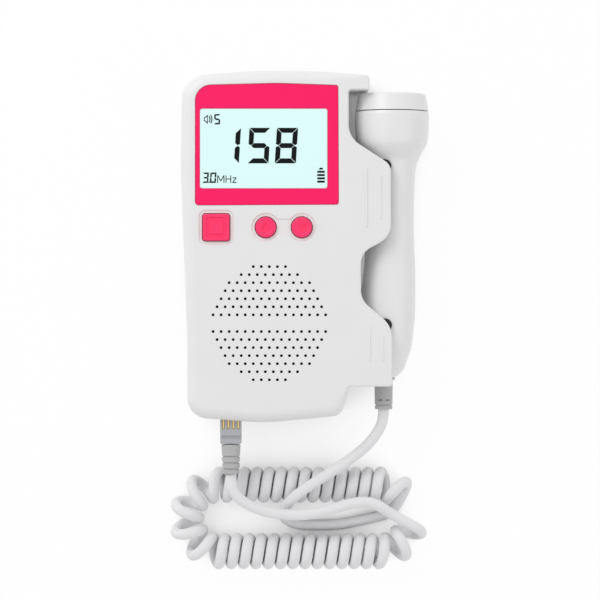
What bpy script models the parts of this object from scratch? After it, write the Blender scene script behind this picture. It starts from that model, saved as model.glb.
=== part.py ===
"""Handheld heartbeat monitor lying on its back, with its probe in the cradle and its curly lead.

Metres. +Z comes out of the display face, +Y runs to the top end and +X to the probe's side.
The origin is on the surface that the monitor lies on, under the middle of monitor and probe.
"""

import math

import bmesh
import bpy
from mathutils import Matrix, Vector

MM = 0.001

# Fits
GAP = 0.3 * MM
OVERRUN = 2.0 * MM
MERGE_DISTANCE = 0.001 * MM

# Body
BODY_LENGTH = 135.2 * MM
BODY_WIDTH = 81.3 * MM
BODY_THICKNESS = 32.0 * MM
BODY_LEFT = -47.9 * MM
SEAM_HEIGHT = 16.0 * MM
EDGE_ROUND = 4.4 * MM
LIP_ROUND = 0.8 * MM
FACE_THICKNESS = 2.7 * MM
BACK_THICKNESS = 3.0 * MM
PLATE_THICKNESS = 2.95 * MM
CRADLE_FLOOR_THICKNESS = 3.2 * MM
CRADLE_END_THICKNESS = 2.0 * MM
CORE_WALL = 2.3 * MM

# The body's outline from the front, anticlockwise from its lower left corner. A row is one corner:
# its place across as a share of the width, its place along as a share of the length, its radius
# as a share of the width, and how far its edge is rounded. No place along means the cradle's end.
NOTCH_SHARE = 0.7934
HORN_SHARE = 0.4438
BODY_CORNER_SHARES = [
    (0.0308, -0.4852, 0.0980, EDGE_ROUND),
    (0.3924, -0.5015, 0.7400, EDGE_ROUND),
    (0.7638, -0.4808, 0.0615, EDGE_ROUND),
    (0.7909, None, 0.0100, LIP_ROUND),
    (1.0000, None, 0.0150, LIP_ROUND),
    (0.9975, -0.2263, 0.1230, LIP_ROUND),
    (0.8512, -0.1516, 0.0980, LIP_ROUND),
    (0.8512, -0.0192, 0.0860, LIP_ROUND),
    (0.9926, 0.0266, 0.0980, LIP_ROUND),
    (0.9926, 0.2308, 0.0615, LIP_ROUND),
    (NOTCH_SHARE, 0.3092, 0.1110, LIP_ROUND),
    (NOTCH_SHARE, HORN_SHARE, 0.0140, LIP_ROUND),
    (0.8918, HORN_SHARE, 0.0140, LIP_ROUND),
    (0.8918, 0.4852, 0.0200, LIP_ROUND),
    (0.5892, 0.5000, 0.7400, EDGE_ROUND),
    (0.3186, 0.4978, 0.7400, EDGE_ROUND),
    (0.0062, 0.4837, 0.1230, EDGE_ROUND),
    (0.0000, 0.2219, 0.7400, EDGE_ROUND),
    (0.0308, -0.2589, 0.7400, EDGE_ROUND),
]
# The room inside both shells, in the same form, with its right side at the core wall.
ROOM_CORNER_SHARES = [
    (0.0590, -0.4734, 0.0370),
    (0.7000, -0.4734, 0.0250),
    (0.7600, -0.4400, 0.0250),
    (None, -0.3990, 0.0100),
    (None, 0.4748, 0.0370),
    (0.0320, 0.4748, 0.0740),
]

# Grip ribs on the cradle's two front plates: place across, lower end and upper end
RIB_SHARES = [
    (0.8770, 0.0530, 0.2250),
    (0.9434, 0.0780, 0.2000),
    (0.8918, -0.3270, -0.2240),
    (0.9533, -0.3270, -0.2510),
]
RIB_WIDTH = 0.7 * MM
RIB_HEIGHT = 0.35 * MM

# Face panel, window and display. The panel's corners have the form of the room's.
PANEL_CORNER_SHARES = [
    (0.0706, 0.1165, 0.0185),
    (0.7454, 0.1188, 0.0100),
    (0.7426, 0.4556, 0.0100),
    (0.4551, 0.4616, 0.7400),
    (0.0710, 0.4556, 0.0740),
]
PANEL_THICKNESS = 1.0 * MM
PANEL_DROP = 0.2 * MM
WINDOW_WIDTH = 48.6 * MM
WINDOW_LENGTH = 30.3 * MM
WINDOW_THICKNESS = 0.8 * MM
WINDOW_CORNER = 0.8 * MM
WINDOW_LEDGE = 1.2 * MM
WINDOW_X_SHARE = 0.3924
WINDOW_Y_SHARE = 0.2770
DISPLAY_WIDTH = 50.0 * MM
DISPLAY_LENGTH = 32.0 * MM
DISPLAY_THICKNESS = 1.8 * MM

# Buttons
BUTTON_HEIGHT = 0.9 * MM
BUTTON_TRAVEL = 0.6 * MM
BUTTON_FLANGE = 0.8 * MM
BUTTON_FLANGE_THICKNESS = 0.8 * MM
BUTTON_STEM_RADIUS = 1.8 * MM
BUTTON_FREE_PLAY = 0.15 * MM
BUTTON_ROW_SHARE = 0.0536
BUTTON_SURROUND = 1.4 * MM
BUTTON_SURROUND_DEPTH = 0.4 * MM
POWER_SIZE = 10.3 * MM
POWER_CORNER = 1.0 * MM
POWER_X_SHARE = 0.1685
VOLUME_RADIUS = 3.95 * MM
VOLUME_UP_X_SHARE = 0.4022
VOLUME_DOWN_X_SHARE = 0.5720
BRIDGE_LENGTH = 6.4 * MM
SWITCH_SIZE = 6.0 * MM
SWITCH_HEIGHT = 3.4 * MM
SWITCH_PLUNGER_RADIUS = 1.7 * MM
SWITCH_PLUNGER_HEIGHT = 1.0 * MM

# Speaker and grille. The grille's rows run from its middle outwards.
SPEAKER_X_SHARE = 0.4194
SPEAKER_Y_SHARE = -0.2182
SPEAKER_RADIUS = 20.0 * MM
SPEAKER_RIM_WIDTH = 2.8 * MM
SPEAKER_RIM_THICKNESS = 1.2 * MM
SPEAKER_PLATE_THICKNESS = 1.0 * MM
SPEAKER_SURROUND_WIDTH = 2.2 * MM
CONE_THICKNESS = 0.6 * MM
CONE_CAP_RADIUS = 4.2 * MM
CONE_LIFT = 1.4 * MM
MAGNET_RADIUS = 9.0 * MM
MAGNET_THICKNESS = 3.0 * MM
GRILLE_PITCH = 3.08 * MM
GRILLE_MIDDLE_GAP = 3.2 * MM
GRILLE_HOLE_RADIUS = 0.5 * MM
GRILLE_ROW_HOLES = [15, 14, 13, 12, 11, 8, 5]

# Main board
BOARD_THICKNESS = 1.6 * MM
BOARD_CORNER = 2.0 * MM
BOARD_EDGE_GAP = 0.9 * MM

# Batteries, their contacts and their door
BATTERY_RADIUS = 7.25 * MM
BATTERY_LENGTH = 50.5 * MM
BATTERY_NUB_RADIUS = 2.75 * MM
BATTERY_NUB_LENGTH = 1.2 * MM
BATTERY_REST = 0.5 * MM
BATTERY_SPACING = 15.2 * MM
BATTERY_X_SHARE = 0.4194
SPRING_LENGTH = 4.8 * MM
SPRING_TIP_RADIUS = 2.6 * MM
SPRING_BASE_RADIUS = 4.2 * MM
CONTACT_THICKNESS = 0.8 * MM
CONTACT_SIZE = 8.0 * MM
BAY_END_SHARE = -0.4534
BAY_WALL = 1.2 * MM
DOOR_THICKNESS = 1.5 * MM
DOOR_MARGIN = 1.6 * MM

# Housing screws
SCREW_SHARES = [
    (0.0947, 0.4334),
    (0.7073, 0.4334),
    (0.1046, -0.4260),
    (0.6950, -0.4260),
]
SCREW_HEAD_RADIUS = 2.7 * MM
SCREW_HEAD_HEIGHT = 1.8 * MM
SCREW_RADIUS = 1.2 * MM
SCREW_LENGTH = 14.0 * MM
SCREW_SEAT_HEIGHT = 9.0 * MM
REAR_BOSS_RADIUS = 4.2 * MM
FRONT_BOSS_RADIUS = 3.2 * MM

# Sockets in the bottom wall
SOCKET_X_SHARE = 0.2362
SOCKET_WIDTH = 12.4 * MM
SOCKET_DEPTH = 12.6 * MM
SOCKET_HEIGHT = 8.4 * MM
JACK_X_SHARE = 0.4908
JACK_WIDTH = 6.4 * MM
JACK_DEPTH = 11.0 * MM
JACK_HEIGHT = 6.0 * MM
JACK_NOSE_RADIUS = 2.5 * MM
JACK_NOSE_LENGTH = 2.8 * MM
JACK_BORE_RADIUS = 1.8 * MM

# Plug and its boot
PLUG_WIDTH = 8.2 * MM
PLUG_HEIGHT = 6.6 * MM
PLUG_INSERTION = 8.6 * MM
PLUG_SHOWN_LENGTH = 8.2 * MM
PLUG_CHAMFER = 0.5 * MM
PLUG_CONTACT_COUNT = 4
PLUG_CONTACT_PITCH = 1.9 * MM
PLUG_CONTACT_WIDTH = 0.6 * MM
PLUG_CONTACT_LENGTH = 10.6 * MM
PLUG_CONTACT_HEIGHT = 1.0 * MM
PLUG_CONTACT_DROP = 0.2 * MM
BOOT_LENGTH = 11.5 * MM
BOOT_TOP_RADIUS = 3.7 * MM
BOOT_END_RADIUS = 3.2 * MM
BOOT_GROOVE_DEPTH = 0.8 * MM
BOOT_GROOVE_COUNT = 3

# Probe. A row is one section: its distance from the head's end as a share of the length, then its
# shift to the right, half its width and half its depth as shares of the head's radius.
HEAD_RADIUS = 14.36 * MM
HEAD_GAP = 2.6 * MM
HORN_CLEARANCE = 0.8 * MM
PROBE_LENGTH = 109.4 * MM
PROBE_WALL = 1.8 * MM
CAP_SHARE = 0.0640
HANDLE_DEPTH_SHARE = 0.6400
PROBE_SECTION_SHARES = [
    (CAP_SHARE, 0.0, 0.989, 0.989),
    (0.0768, 0.0, 1.000, 1.000),
    (0.1444, 0.0, 0.985, 0.985),
    (0.1782, 0.0, 0.940, 0.930),
    (0.2057, 0.0, 0.822, 0.780),
    (0.2322, -0.005, 0.724, 0.645),
    (0.2596, -0.024, 0.675, 0.625),
    (0.2934, -0.038, 0.655, 0.620),
    (0.4314, -0.052, 0.641, 0.600),
    (0.5229, -0.059, 0.655, 0.605),
    (0.6243, -0.066, 0.696, 0.620),
    (0.7367, -0.129, 0.759, HANDLE_DEPTH_SHARE),
    (0.7925, -0.185, 0.801, HANDLE_DEPTH_SHARE),
    (0.8446, -0.212, 0.787, HANDLE_DEPTH_SHARE),
    (0.8995, -0.219, 0.738, 0.620),
    (0.9534, -0.226, 0.606, 0.520),
    (0.9744, -0.226, 0.543, 0.470),
    (0.9954, -0.226, 0.404, 0.370),
    (1.0000, -0.226, 0.350, 0.330),
]
CAP_END_SHARE = 0.909
CAP_WAIST_SHARE = 0.944
CAP_EDGE_ROUND = 0.8 * MM
CAP_WALL = 1.6 * MM
CAP_END_THICKNESS = 1.4 * MM
TRANSDUCER_RADIUS = 11.0 * MM
TRANSDUCER_THICKNESS = 2.0 * MM
BACKING_THICKNESS = 1.6 * MM
PROBE_BOARD_WIDTH = 13.6 * MM
PROBE_BOARD_LENGTH = 34.0 * MM
PROBE_BOARD_THICKNESS = 1.2 * MM
PROBE_BOARD_START_SHARE = 0.290
PROBE_BOARD_SECTION = 8

# Strain relief at the probe's end
RELIEF_STEM_RADIUS = 2.6 * MM
RELIEF_STEM_LENGTH = 3.4 * MM
RELIEF_FLANGE_RADIUS = 4.4 * MM
RELIEF_FLANGE_THICKNESS = 1.0 * MM
RELIEF_RADIUS = 3.45 * MM
RELIEF_SLEEVE_LENGTH = 7.4 * MM
RELIEF_GROOVE_WIDTH = 0.7 * MM
RELIEF_GROOVE_DEPTH = 0.8 * MM
RELIEF_RING_LENGTH = 3.3 * MM

# Rubber pads under the cradle's front plates: place across the body, and along the probe from its head
PAD_RADIUS = 2.55 * MM
PAD_THICKNESS = 0.9 * MM
PAD_SHARES = [(0.9643, 0.2578), (0.9668, 0.8172)]

# Lead. The ring of curls is a stadium lying on the surface, with its middle at COIL_X and COIL_Y.
CORD_RADIUS = 2.1 * MM
CURL_RADIUS = 5.15 * MM
COIL_X = -2.3 * MM
COIL_Y = -105.8 * MM
COIL_REST = 0.15 * MM
COIL_BEND_RADIUS = 13.0 * MM
COIL_STRAIGHT = 62.4 * MM
COIL_STRAIGHT_PITCH = 4.8 * MM
COIL_BEND_PITCH = 8.1 * MM
COIL_START_TURN_SHARE = 0.06
COIL_END_TURN_SHARE = 0.36
POINTS_PER_CURL = 8
GAP_STEPS = 4
LEAD_STEP = 6.0 * MM
PLUG_LEAD_ROUTE = [
    (-27.6 * MM, -95.2 * MM, 22.6 * MM),
    (-23.0 * MM, -99.4 * MM, 21.2 * MM),
    (-16.5 * MM, -102.2 * MM, 19.8 * MM),
    (-9.0 * MM, -103.6 * MM, 19.0 * MM),
    (-1.0 * MM, -103.9 * MM, 18.2 * MM),
    (7.5 * MM, -102.6 * MM, 17.8 * MM),
    (16.0 * MM, -99.9 * MM, 17.8 * MM),
    (24.0 * MM, -98.6 * MM, 17.6 * MM),
    (29.6 * MM, -101.0 * MM, 16.0 * MM),
]
PROBE_LEAD_ROUTE = [
    (23.6 * MM, -106.6 * MM, 2.7 * MM),
    (14.0 * MM, -108.6 * MM, 2.7 * MM),
    (3.5 * MM, -108.9 * MM, 2.9 * MM),
    (-4.0 * MM, -108.4 * MM, 4.2 * MM),
    (-8.6 * MM, -105.4 * MM, 8.0 * MM),
    (-8.0 * MM, -101.2 * MM, 13.4 * MM),
    (-4.0 * MM, -96.6 * MM, 17.2 * MM),
    (2.2 * MM, -92.2 * MM, 18.0 * MM),
    (9.4 * MM, -87.6 * MM, 18.0 * MM),
    (17.0 * MM, -82.6 * MM, 18.0 * MM),
    (24.0 * MM, -77.0 * MM, 18.1 * MM),
    (28.6 * MM, -71.0 * MM, 18.3 * MM),
]

# How finely round shapes are stepped
ARC_STEP = math.radians(24)
ROUND_STEPS = 3
ROUND_SIDES = 24
SMALL_SIDES = 14
HOLE_SIDES = 4
SHARPEST_TURN = 0.5
SECTION_SIDES = 20

# Colours
WHITE = (0.80, 0.80, 0.81)
PINK = (0.98, 0.02, 0.14)
BUTTON_PINK = (1.00, 0.04, 0.18)
GREY = (0.42, 0.43, 0.45)
DARK = (0.02, 0.02, 0.02)
CYAN = (0.72, 0.96, 0.96)
STEEL = (0.60, 0.60, 0.62)
GOLD = (0.85, 0.60, 0.22)
BOARD_GREEN = (0.02, 0.20, 0.08)
PAPER = (0.10, 0.09, 0.08)
BLUE = (0.03, 0.08, 0.35)


def across(share):
    """The place at this share of the body's width from its left side."""
    return BODY_LEFT + share * BODY_WIDTH


def along(share):
    """The place at this share of the body's length from its middle."""
    return share * BODY_LENGTH


# Levels and ends of the body
BODY_RIGHT = BODY_LEFT + BODY_WIDTH
BODY_BOTTOM = -BODY_LENGTH / 2
FACE_UNDERSIDE = BODY_THICKNESS - FACE_THICKNESS
CHANNEL_TOP = BODY_THICKNESS - PLATE_THICKNESS
HANDLE_HALF_DEPTH = HANDLE_DEPTH_SHARE * HEAD_RADIUS
PROBE_Z = CHANNEL_TOP - GAP - PAD_THICKNESS - GAP - HANDLE_HALF_DEPTH
CHANNEL_FLOOR = PROBE_Z - HANDLE_HALF_DEPTH - GAP
CORE_SIDE = across(NOTCH_SHARE) + GAP
BATTERY_Z = DOOR_THICKNESS + BATTERY_REST + BATTERY_RADIUS
BOARD_BOTTOM = BATTERY_Z + BATTERY_RADIUS + 2 * GAP
BOARD_TOP = BOARD_BOTTOM + BOARD_THICKNESS
FRONT_BOSS_END = BOARD_BOTTOM - BOARD_THICKNESS / 2
REAR_WALL_TOP = FRONT_BOSS_END - GAP
PANEL_FLOOR = BODY_THICKNESS - PANEL_DROP - PANEL_THICKNESS - GAP
SWITCH_TOP = BOARD_TOP + GAP + SWITCH_HEIGHT + SWITCH_PLUNGER_HEIGHT
PLUG_Z = BOARD_TOP + GAP + SOCKET_HEIGHT / 2
JACK_Z = BOARD_TOP + GAP + JACK_HEIGHT / 2

# Places of the probe
HEAD_X = across(NOTCH_SHARE) + HEAD_GAP + HEAD_RADIUS
HEAD_END = along(HORN_SHARE) - HORN_CLEARANCE
PROBE_END = HEAD_END - PROBE_LENGTH
TAIL_X = HEAD_X + PROBE_SECTION_SHARES[-1][1] * HEAD_RADIUS
CRADLE_END = PROBE_END - GAP - RELIEF_FLANGE_THICKNESS - GAP - CRADLE_END_THICKNESS

# Places of the plug and the board
BOTTOM_INNER = along(ROOM_CORNER_SHARES[0][1])
PLUG_X = across(SOCKET_X_SHARE)
SOCKET_FRONT = BOTTOM_INNER + GAP
PLUG_TOP = along(BODY_CORNER_SHARES[1][1]) + PLUG_INSERTION
PLUG_END = PLUG_TOP - PLUG_INSERTION - PLUG_SHOWN_LENGTH

PARTS_NAME = "heartbeat_monitor"
CUTTERS_NAME = "cutters"


def clear_scene():
    for old in list(bpy.data.objects):
        bpy.data.objects.remove(old, do_unlink=True)
    for name in (PARTS_NAME, CUTTERS_NAME):
        bpy.context.scene.collection.children.link(bpy.data.collections.new(name))


def place(name, mesh, location=(0, 0, 0)):
    """A part's object, made from a mesh or a curve."""
    obj = bpy.data.objects.new(name, mesh)
    obj.location = location
    bpy.data.collections[PARTS_NAME].objects.link(obj)
    return obj


def as_helper(obj):
    """Takes an object out of the render, as a cutter or an added shape."""
    bpy.data.collections[PARTS_NAME].objects.unlink(obj)
    bpy.data.collections[CUTTERS_NAME].objects.link(obj)
    obj.hide_render = True
    obj.display_type = "WIRE"
    return obj


def finish(obj, colour, roughness, metallic=0.0):
    """Gives the part its own material and smooth round faces."""
    material = bpy.data.materials.new(obj.name + "_material")
    material.use_nodes = True
    shader = material.node_tree.nodes["Principled BSDF"]
    shader.inputs["Base Color"].default_value = (*colour, 1.0)
    shader.inputs["Roughness"].default_value = roughness
    shader.inputs["Metallic"].default_value = metallic
    obj.data.materials.clear()
    obj.data.materials.append(material)
    if obj.type == "MESH":
        obj.data.shade_smooth()
        obj.data.set_sharp_from_angle(angle=math.radians(40))
    return obj


def mesh_from(bm, name):
    bmesh.ops.recalc_face_normals(bm, faces=bm.faces)
    mesh = bpy.data.meshes.new(name)
    bm.to_mesh(mesh)
    bm.free()
    return mesh


def box(name, low, high):
    """A box between two corners, with its origin in its middle."""
    low, high = Vector(low), Vector(high)
    bm = bmesh.new()
    bmesh.ops.create_cube(bm, size=1, matrix=Matrix.Diagonal((high - low).to_4d()))
    return place(name, mesh_from(bm, name), (low + high) / 2)


def turn_to(axis):
    """The rotation that takes +Z to this axis."""
    return Vector((0, 0, 1)).rotation_difference(Vector(axis)).to_matrix().to_4x4()


def cylinder(name, radius, start, end, sides=ROUND_SIDES):
    """A cylinder between two points, with its origin in its middle."""
    start, end = Vector(start), Vector(end)
    bm = bmesh.new()
    bmesh.ops.create_cone(
        bm,
        cap_ends=True,
        segments=sides,
        radius1=radius,
        radius2=radius,
        depth=(end - start).length,
        matrix=turn_to(end - start),
    )
    return place(name, mesh_from(bm, name), (start + end) / 2)


def turned(name, profile, origin, axis=(0, 0, 1), steps=ROUND_SIDES, closed=False):
    """A turned shape. The profile's rows are a radius and a height, down its outer side."""
    bm = bmesh.new()
    points = [bm.verts.new((radius, 0, height)) for radius, height in profile]
    for first, second in zip(points, points[1:]):
        bm.edges.new((first, second))
    if closed:
        bm.edges.new((points[-1], points[0]))
    mesh = bpy.data.meshes.new(name)
    bm.to_mesh(mesh)
    bm.free()
    obj = place(name, mesh, origin)
    obj.rotation_euler = turn_to(axis).to_euler()
    screw = obj.modifiers.new("Turn", "SCREW")
    screw.steps = steps
    screw.render_steps = steps
    screw.use_merge_vertices = True
    screw.merge_threshold = MERGE_DISTANCE
    screw.use_smooth_shade = True
    return obj


def made_mesh(curve_object):
    """The same shape as a mesh object with welded caps."""
    graph = bpy.context.evaluated_depsgraph_get()
    mesh = bpy.data.meshes.new_from_object(curve_object.evaluated_get(graph))
    bm = bmesh.new()
    bm.from_mesh(mesh)
    bmesh.ops.remove_doubles(bm, verts=bm.verts, dist=MERGE_DISTANCE)
    bmesh.ops.recalc_face_normals(bm, faces=bm.faces)
    bm.to_mesh(mesh)
    bm.free()
    name = curve_object.name
    matrix = curve_object.matrix_world.copy()
    bpy.data.objects.remove(curve_object, do_unlink=True)
    obj = place(name, mesh)
    obj.matrix_world = matrix
    return obj


def sheet(name, outline, low, high):
    """A flat outline between two levels, as a mesh."""
    curve = bpy.data.curves.new(name, "CURVE")
    curve.dimensions = "2D"
    curve.fill_mode = "BOTH"
    curve.extrude = (high - low) / 2
    spline = curve.splines.new("POLY")
    spline.points.add(len(outline) - 1)
    for point, (x, y) in zip(spline.points, outline):
        point.co = (x, y, 0, 1)
    spline.use_cyclic_u = True
    obj = place(name, curve, (0, 0, (low + high) / 2))
    bpy.context.view_layer.update()
    return made_mesh(obj)


def rounded(corners):
    """The outline through these corners, each with its own radius, and each point's corner."""
    points = []
    for index, (x, y, radius) in enumerate(corners):
        corner = Vector((x, y))
        before = (corner - Vector(corners[index - 1][:2])).normalized()
        after = (Vector(corners[(index + 1) % len(corners)][:2]) - corner).normalized()
        turn = before.angle_signed(after)
        reach = radius * math.tan(abs(turn) / 2)
        side = Vector((before.y, -before.x)) * math.copysign(1, turn)
        centre = corner - before * reach + side * radius
        steps = max(1, math.ceil(abs(turn) / ARC_STEP))
        for step in range(steps + 1):
            arm = -side * radius
            arm.rotate(Matrix.Rotation(-turn * step / steps, 2))
            points.append((centre.x + arm.x, centre.y + arm.y, index))
    return points


def outline_of(corners, grow=0.0):
    """The rounded outline's points, moved outwards by grow."""
    points = [(x, y) for x, y, _ in rounded(corners)]
    return [(x - nx * grow, y - ny * grow) for (x, y), (nx, ny) in zip(points, inward(points))]


def inward(points):
    """At each point of an anticlockwise outline, the step that moves its two sides in by one."""
    steps = []
    for index, point in enumerate(points):
        here = Vector(point)
        before = (here - Vector(points[index - 1])).normalized()
        after = (Vector(points[(index + 1) % len(points)]) - here).normalized()
        first = Vector((-before.y, before.x))
        middle = (first + Vector((-after.y, after.x))).normalized()
        steps.append(middle / max(middle.dot(first), SHARPEST_TURN))
    return steps


def loft(name, rings):
    """A closed solid through rings of points, which run anticlockwise seen from the last ring."""
    bm = bmesh.new()
    rows = [[bm.verts.new(point) for point in ring] for ring in rings]
    for low, high in zip(rows, rows[1:]):
        for index in range(len(low)):
            after = (index + 1) % len(low)
            bm.faces.new((low[index], low[after], high[after], high[index]))
    bm.faces.new(list(reversed(rows[0])))
    bm.faces.new(rows[-1])
    return place(name, mesh_from(bm, name))


def combine(obj, operation, others):
    for other in others:
        as_helper(other)
        modifier = obj.modifiers.new(other.name, "BOOLEAN")
        modifier.operation = operation
        modifier.solver = "EXACT"
        modifier.object = other
    return obj


def cut(obj, *cutters):
    return combine(obj, "DIFFERENCE", cutters)


def join(obj, *added):
    return combine(obj, "UNION", added)


def carried_by(empty, *objects):
    """Parents objects to an empty without moving them."""
    for obj in objects:
        obj.parent = empty
        obj.matrix_parent_inverse = Matrix.Translation(-empty.location)


def pivot(name, location):
    empty = bpy.data.objects.new(name, None)
    empty.location = location
    bpy.data.collections[PARTS_NAME].objects.link(empty)
    return empty


def rectangle(x, y, width, length, radius):
    """The corners of a rectangle, in the form that the outlines use."""
    return [
        (x - width / 2, y - length / 2, radius),
        (x + width / 2, y - length / 2, radius),
        (x + width / 2, y + length / 2, radius),
        (x - width / 2, y + length / 2, radius),
    ]


def body_corners():
    rows = []
    for x_share, y_share, radius_share, edge in BODY_CORNER_SHARES:
        y = CRADLE_END if y_share is None else along(y_share)
        rows.append((across(x_share), y, radius_share * BODY_WIDTH, edge))
    return rows


def share_corners(rows, side=0.0):
    """Corners from a table of shares; a row with no place across lies on the given side."""
    corners = []
    for x_share, y_share, radius_share in rows:
        x = side if x_share is None else across(x_share)
        corners.append((x, along(y_share), radius_share * BODY_WIDTH))
    return corners


def body_slab(name, low, high, edge_level):
    """The body's outline between two levels, its edge rounded at edge_level, one of the two."""
    corners = body_corners()
    points = rounded([corner[:3] for corner in corners])
    places = [(x, y) for x, y, _ in points]
    rounds = [corners[index][3] for _, _, index in points]
    steps = inward(places)
    facing = 1 if edge_level == high else -1
    far_level = low if edge_level == high else high
    rings = [[(x, y, far_level) for x, y in places]]
    for step in range(ROUND_STEPS + 1):
        angle = math.pi / 2 * step / ROUND_STEPS
        ring = []
        for (x, y), radius, (nx, ny) in zip(places, rounds, steps):
            inset = radius * (1 - math.cos(angle))
            level = edge_level - facing * radius * (1 - math.sin(angle))
            ring.append((x + nx * inset, y + ny * inset, level))
        rings.append(ring)
    return loft(name, rings if facing > 0 else rings[::-1])


def screw_places():
    return [(across(x_share), along(y_share)) for x_share, y_share in SCREW_SHARES]


def channel_cutters(name, low, high):
    """The probe's channel between the cradle's plates, and the slot for its strain relief."""
    right = BODY_RIGHT + OVERRUN
    channel = box(
        name + "_channel",
        (CORE_SIDE, CRADLE_END + CRADLE_END_THICKNESS, low),
        (right, along(HORN_SHARE) - HEAD_RADIUS, high),
    )
    slot = box(
        name + "_slot",
        (TAIL_X - RELIEF_FLANGE_RADIUS - GAP, CRADLE_END - OVERRUN, low),
        (right, CRADLE_END + CRADLE_END_THICKNESS + OVERRUN, high),
    )
    return channel, slot


def grille_holes():
    """One cutter with all of the grille's holes, in rows that shift by half a pitch."""
    bm = bmesh.new()
    for row, count in enumerate(GRILLE_ROW_HOLES):
        distance = GRILLE_MIDDLE_GAP + row * GRILLE_PITCH
        for side in (-1, 1):
            for hole in range(count):
                x = (hole - (count - 1) / 2) * GRILLE_PITCH
                bmesh.ops.create_cone(
                    bm,
                    cap_ends=True,
                    segments=HOLE_SIDES,
                    radius1=GRILLE_HOLE_RADIUS,
                    radius2=GRILLE_HOLE_RADIUS,
                    depth=FACE_THICKNESS + 2 * OVERRUN,
                    matrix=Matrix.Translation((x, side * distance, 0)),
                )
    middle = (across(SPEAKER_X_SHARE), along(SPEAKER_Y_SHARE), BODY_THICKNESS - FACE_THICKNESS / 2)
    return place("grille_holes", mesh_from(bm, "grille_holes"), middle)


def panel_corners():
    return share_corners(PANEL_CORNER_SHARES)


def window_corners(shrink=0.0):
    return rectangle(
        across(WINDOW_X_SHARE),
        along(WINDOW_Y_SHARE),
        WINDOW_WIDTH - 2 * shrink,
        WINDOW_LENGTH - 2 * shrink,
        WINDOW_CORNER,
    )


def button_places():
    return {
        "power": (across(POWER_X_SHARE), along(BUTTON_ROW_SHARE)),
        "volume_up": (across(VOLUME_UP_X_SHARE), along(BUTTON_ROW_SHARE)),
        "volume_down": (across(VOLUME_DOWN_X_SHARE), along(BUTTON_ROW_SHARE)),
    }


def button_cutters():
    """Shallow surrounds and through holes for the three buttons."""
    places = button_places()
    above = BODY_THICKNESS + OVERRUN
    surround_floor = BODY_THICKNESS - BUTTON_SURROUND_DEPTH
    below = FACE_UNDERSIDE - OVERRUN
    surround_size = POWER_SIZE + 2 * BUTTON_SURROUND
    hole_size = POWER_SIZE + 2 * GAP
    x, y = places["power"]
    surround = rectangle(x, y, surround_size, surround_size, POWER_CORNER + BUTTON_SURROUND)
    hole = rectangle(x, y, hole_size, hole_size, POWER_CORNER + GAP)
    cutters = [
        sheet("power_surround", outline_of(surround), surround_floor, above),
        sheet("power_hole", outline_of(hole), below, above),
    ]
    middle = (places["volume_up"][0] + places["volume_down"][0]) / 2
    bridge = rectangle(middle, y, places["volume_down"][0] - places["volume_up"][0], BRIDGE_LENGTH, GAP)
    cutters.append(sheet("volume_bridge", outline_of(bridge), surround_floor, above))
    for key in ("volume_up", "volume_down"):
        x, y = places[key]
        ring = VOLUME_RADIUS + BUTTON_SURROUND
        bore = VOLUME_RADIUS + GAP
        cutters.append(cylinder(key + "_surround", ring, (x, y, surround_floor), (x, y, above)))
        cutters.append(cylinder(key + "_hole", bore, (x, y, below), (x, y, above)))
    return cutters


def socket_cutter(name):
    """The opening in the bottom wall that the plug goes through."""
    half_width = PLUG_WIDTH / 2 + GAP
    half_height = PLUG_HEIGHT / 2 + GAP
    return box(
        name,
        (PLUG_X - half_width, PLUG_END, PLUG_Z - half_height),
        (PLUG_X + half_width, PLUG_TOP + GAP, PLUG_Z + half_height),
    )


def jack_cutter():
    x = across(JACK_X_SHARE)
    bore = JACK_NOSE_RADIUS + GAP
    return cylinder("jack_opening", bore, (x, BODY_BOTTOM - OVERRUN, JACK_Z), (x, SOCKET_FRONT, JACK_Z))


def build_front_housing():
    front = body_slab("front_housing", SEAM_HEIGHT + GAP / 2, BODY_THICKNESS, BODY_THICKNESS)
    room = outline_of(share_corners(ROOM_CORNER_SHARES, CORE_SIDE - CORE_WALL))
    cut(front, sheet("front_room", room, SEAM_HEIGHT - OVERRUN, FACE_UNDERSIDE))
    cut(front, *channel_cutters("front", SEAM_HEIGHT - OVERRUN, CHANNEL_TOP))
    for number, (x, y) in enumerate(screw_places(), 1):
        low = (x, y, FRONT_BOSS_END)
        high = (x, y, FACE_UNDERSIDE + FACE_THICKNESS / 2)
        join(front, cylinder(f"front_boss_{number}", FRONT_BOSS_RADIUS, low, high, SMALL_SIDES))
    for number, (x_share, low_share, high_share) in enumerate(RIB_SHARES, 1):
        x = across(x_share)
        low = (x - RIB_WIDTH / 2, along(low_share), BODY_THICKNESS - RIB_HEIGHT)
        high = (x + RIB_WIDTH / 2, along(high_share), BODY_THICKNESS + RIB_HEIGHT)
        join(front, box(f"grip_rib_{number}", low, high))
    for number, (x, y) in enumerate(screw_places(), 1):
        top = SCREW_SEAT_HEIGHT + SCREW_LENGTH + GAP
        bore = SCREW_RADIUS + GAP
        low = (x, y, FRONT_BOSS_END - OVERRUN)
        cut(front, cylinder(f"pilot_{number}", bore, low, (x, y, top), SMALL_SIDES))
    above = BODY_THICKNESS + OVERRUN
    cut(front, sheet("panel_recess", outline_of(panel_corners(), GAP), PANEL_FLOOR, above))
    ledge = outline_of(window_corners(WINDOW_LEDGE))
    cut(front, sheet("window_opening", ledge, FACE_UNDERSIDE - OVERRUN, above))
    cut(front, *button_cutters())
    cut(front, grille_holes())
    cut(front, socket_cutter("front_plug_opening"), jack_cutter())
    finish(front, WHITE, 0.45)


def battery_bay():
    """The battery bay's inner corners, low and high."""
    middle = across(BATTERY_X_SHARE)
    half = BATTERY_SPACING / 2 + BATTERY_RADIUS + GAP
    low = along(BAY_END_SHARE)
    high = low + BATTERY_LENGTH + SPRING_LENGTH + CONTACT_THICKNESS + 4 * GAP
    return (middle - half, low), (middle + half, high)


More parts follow.
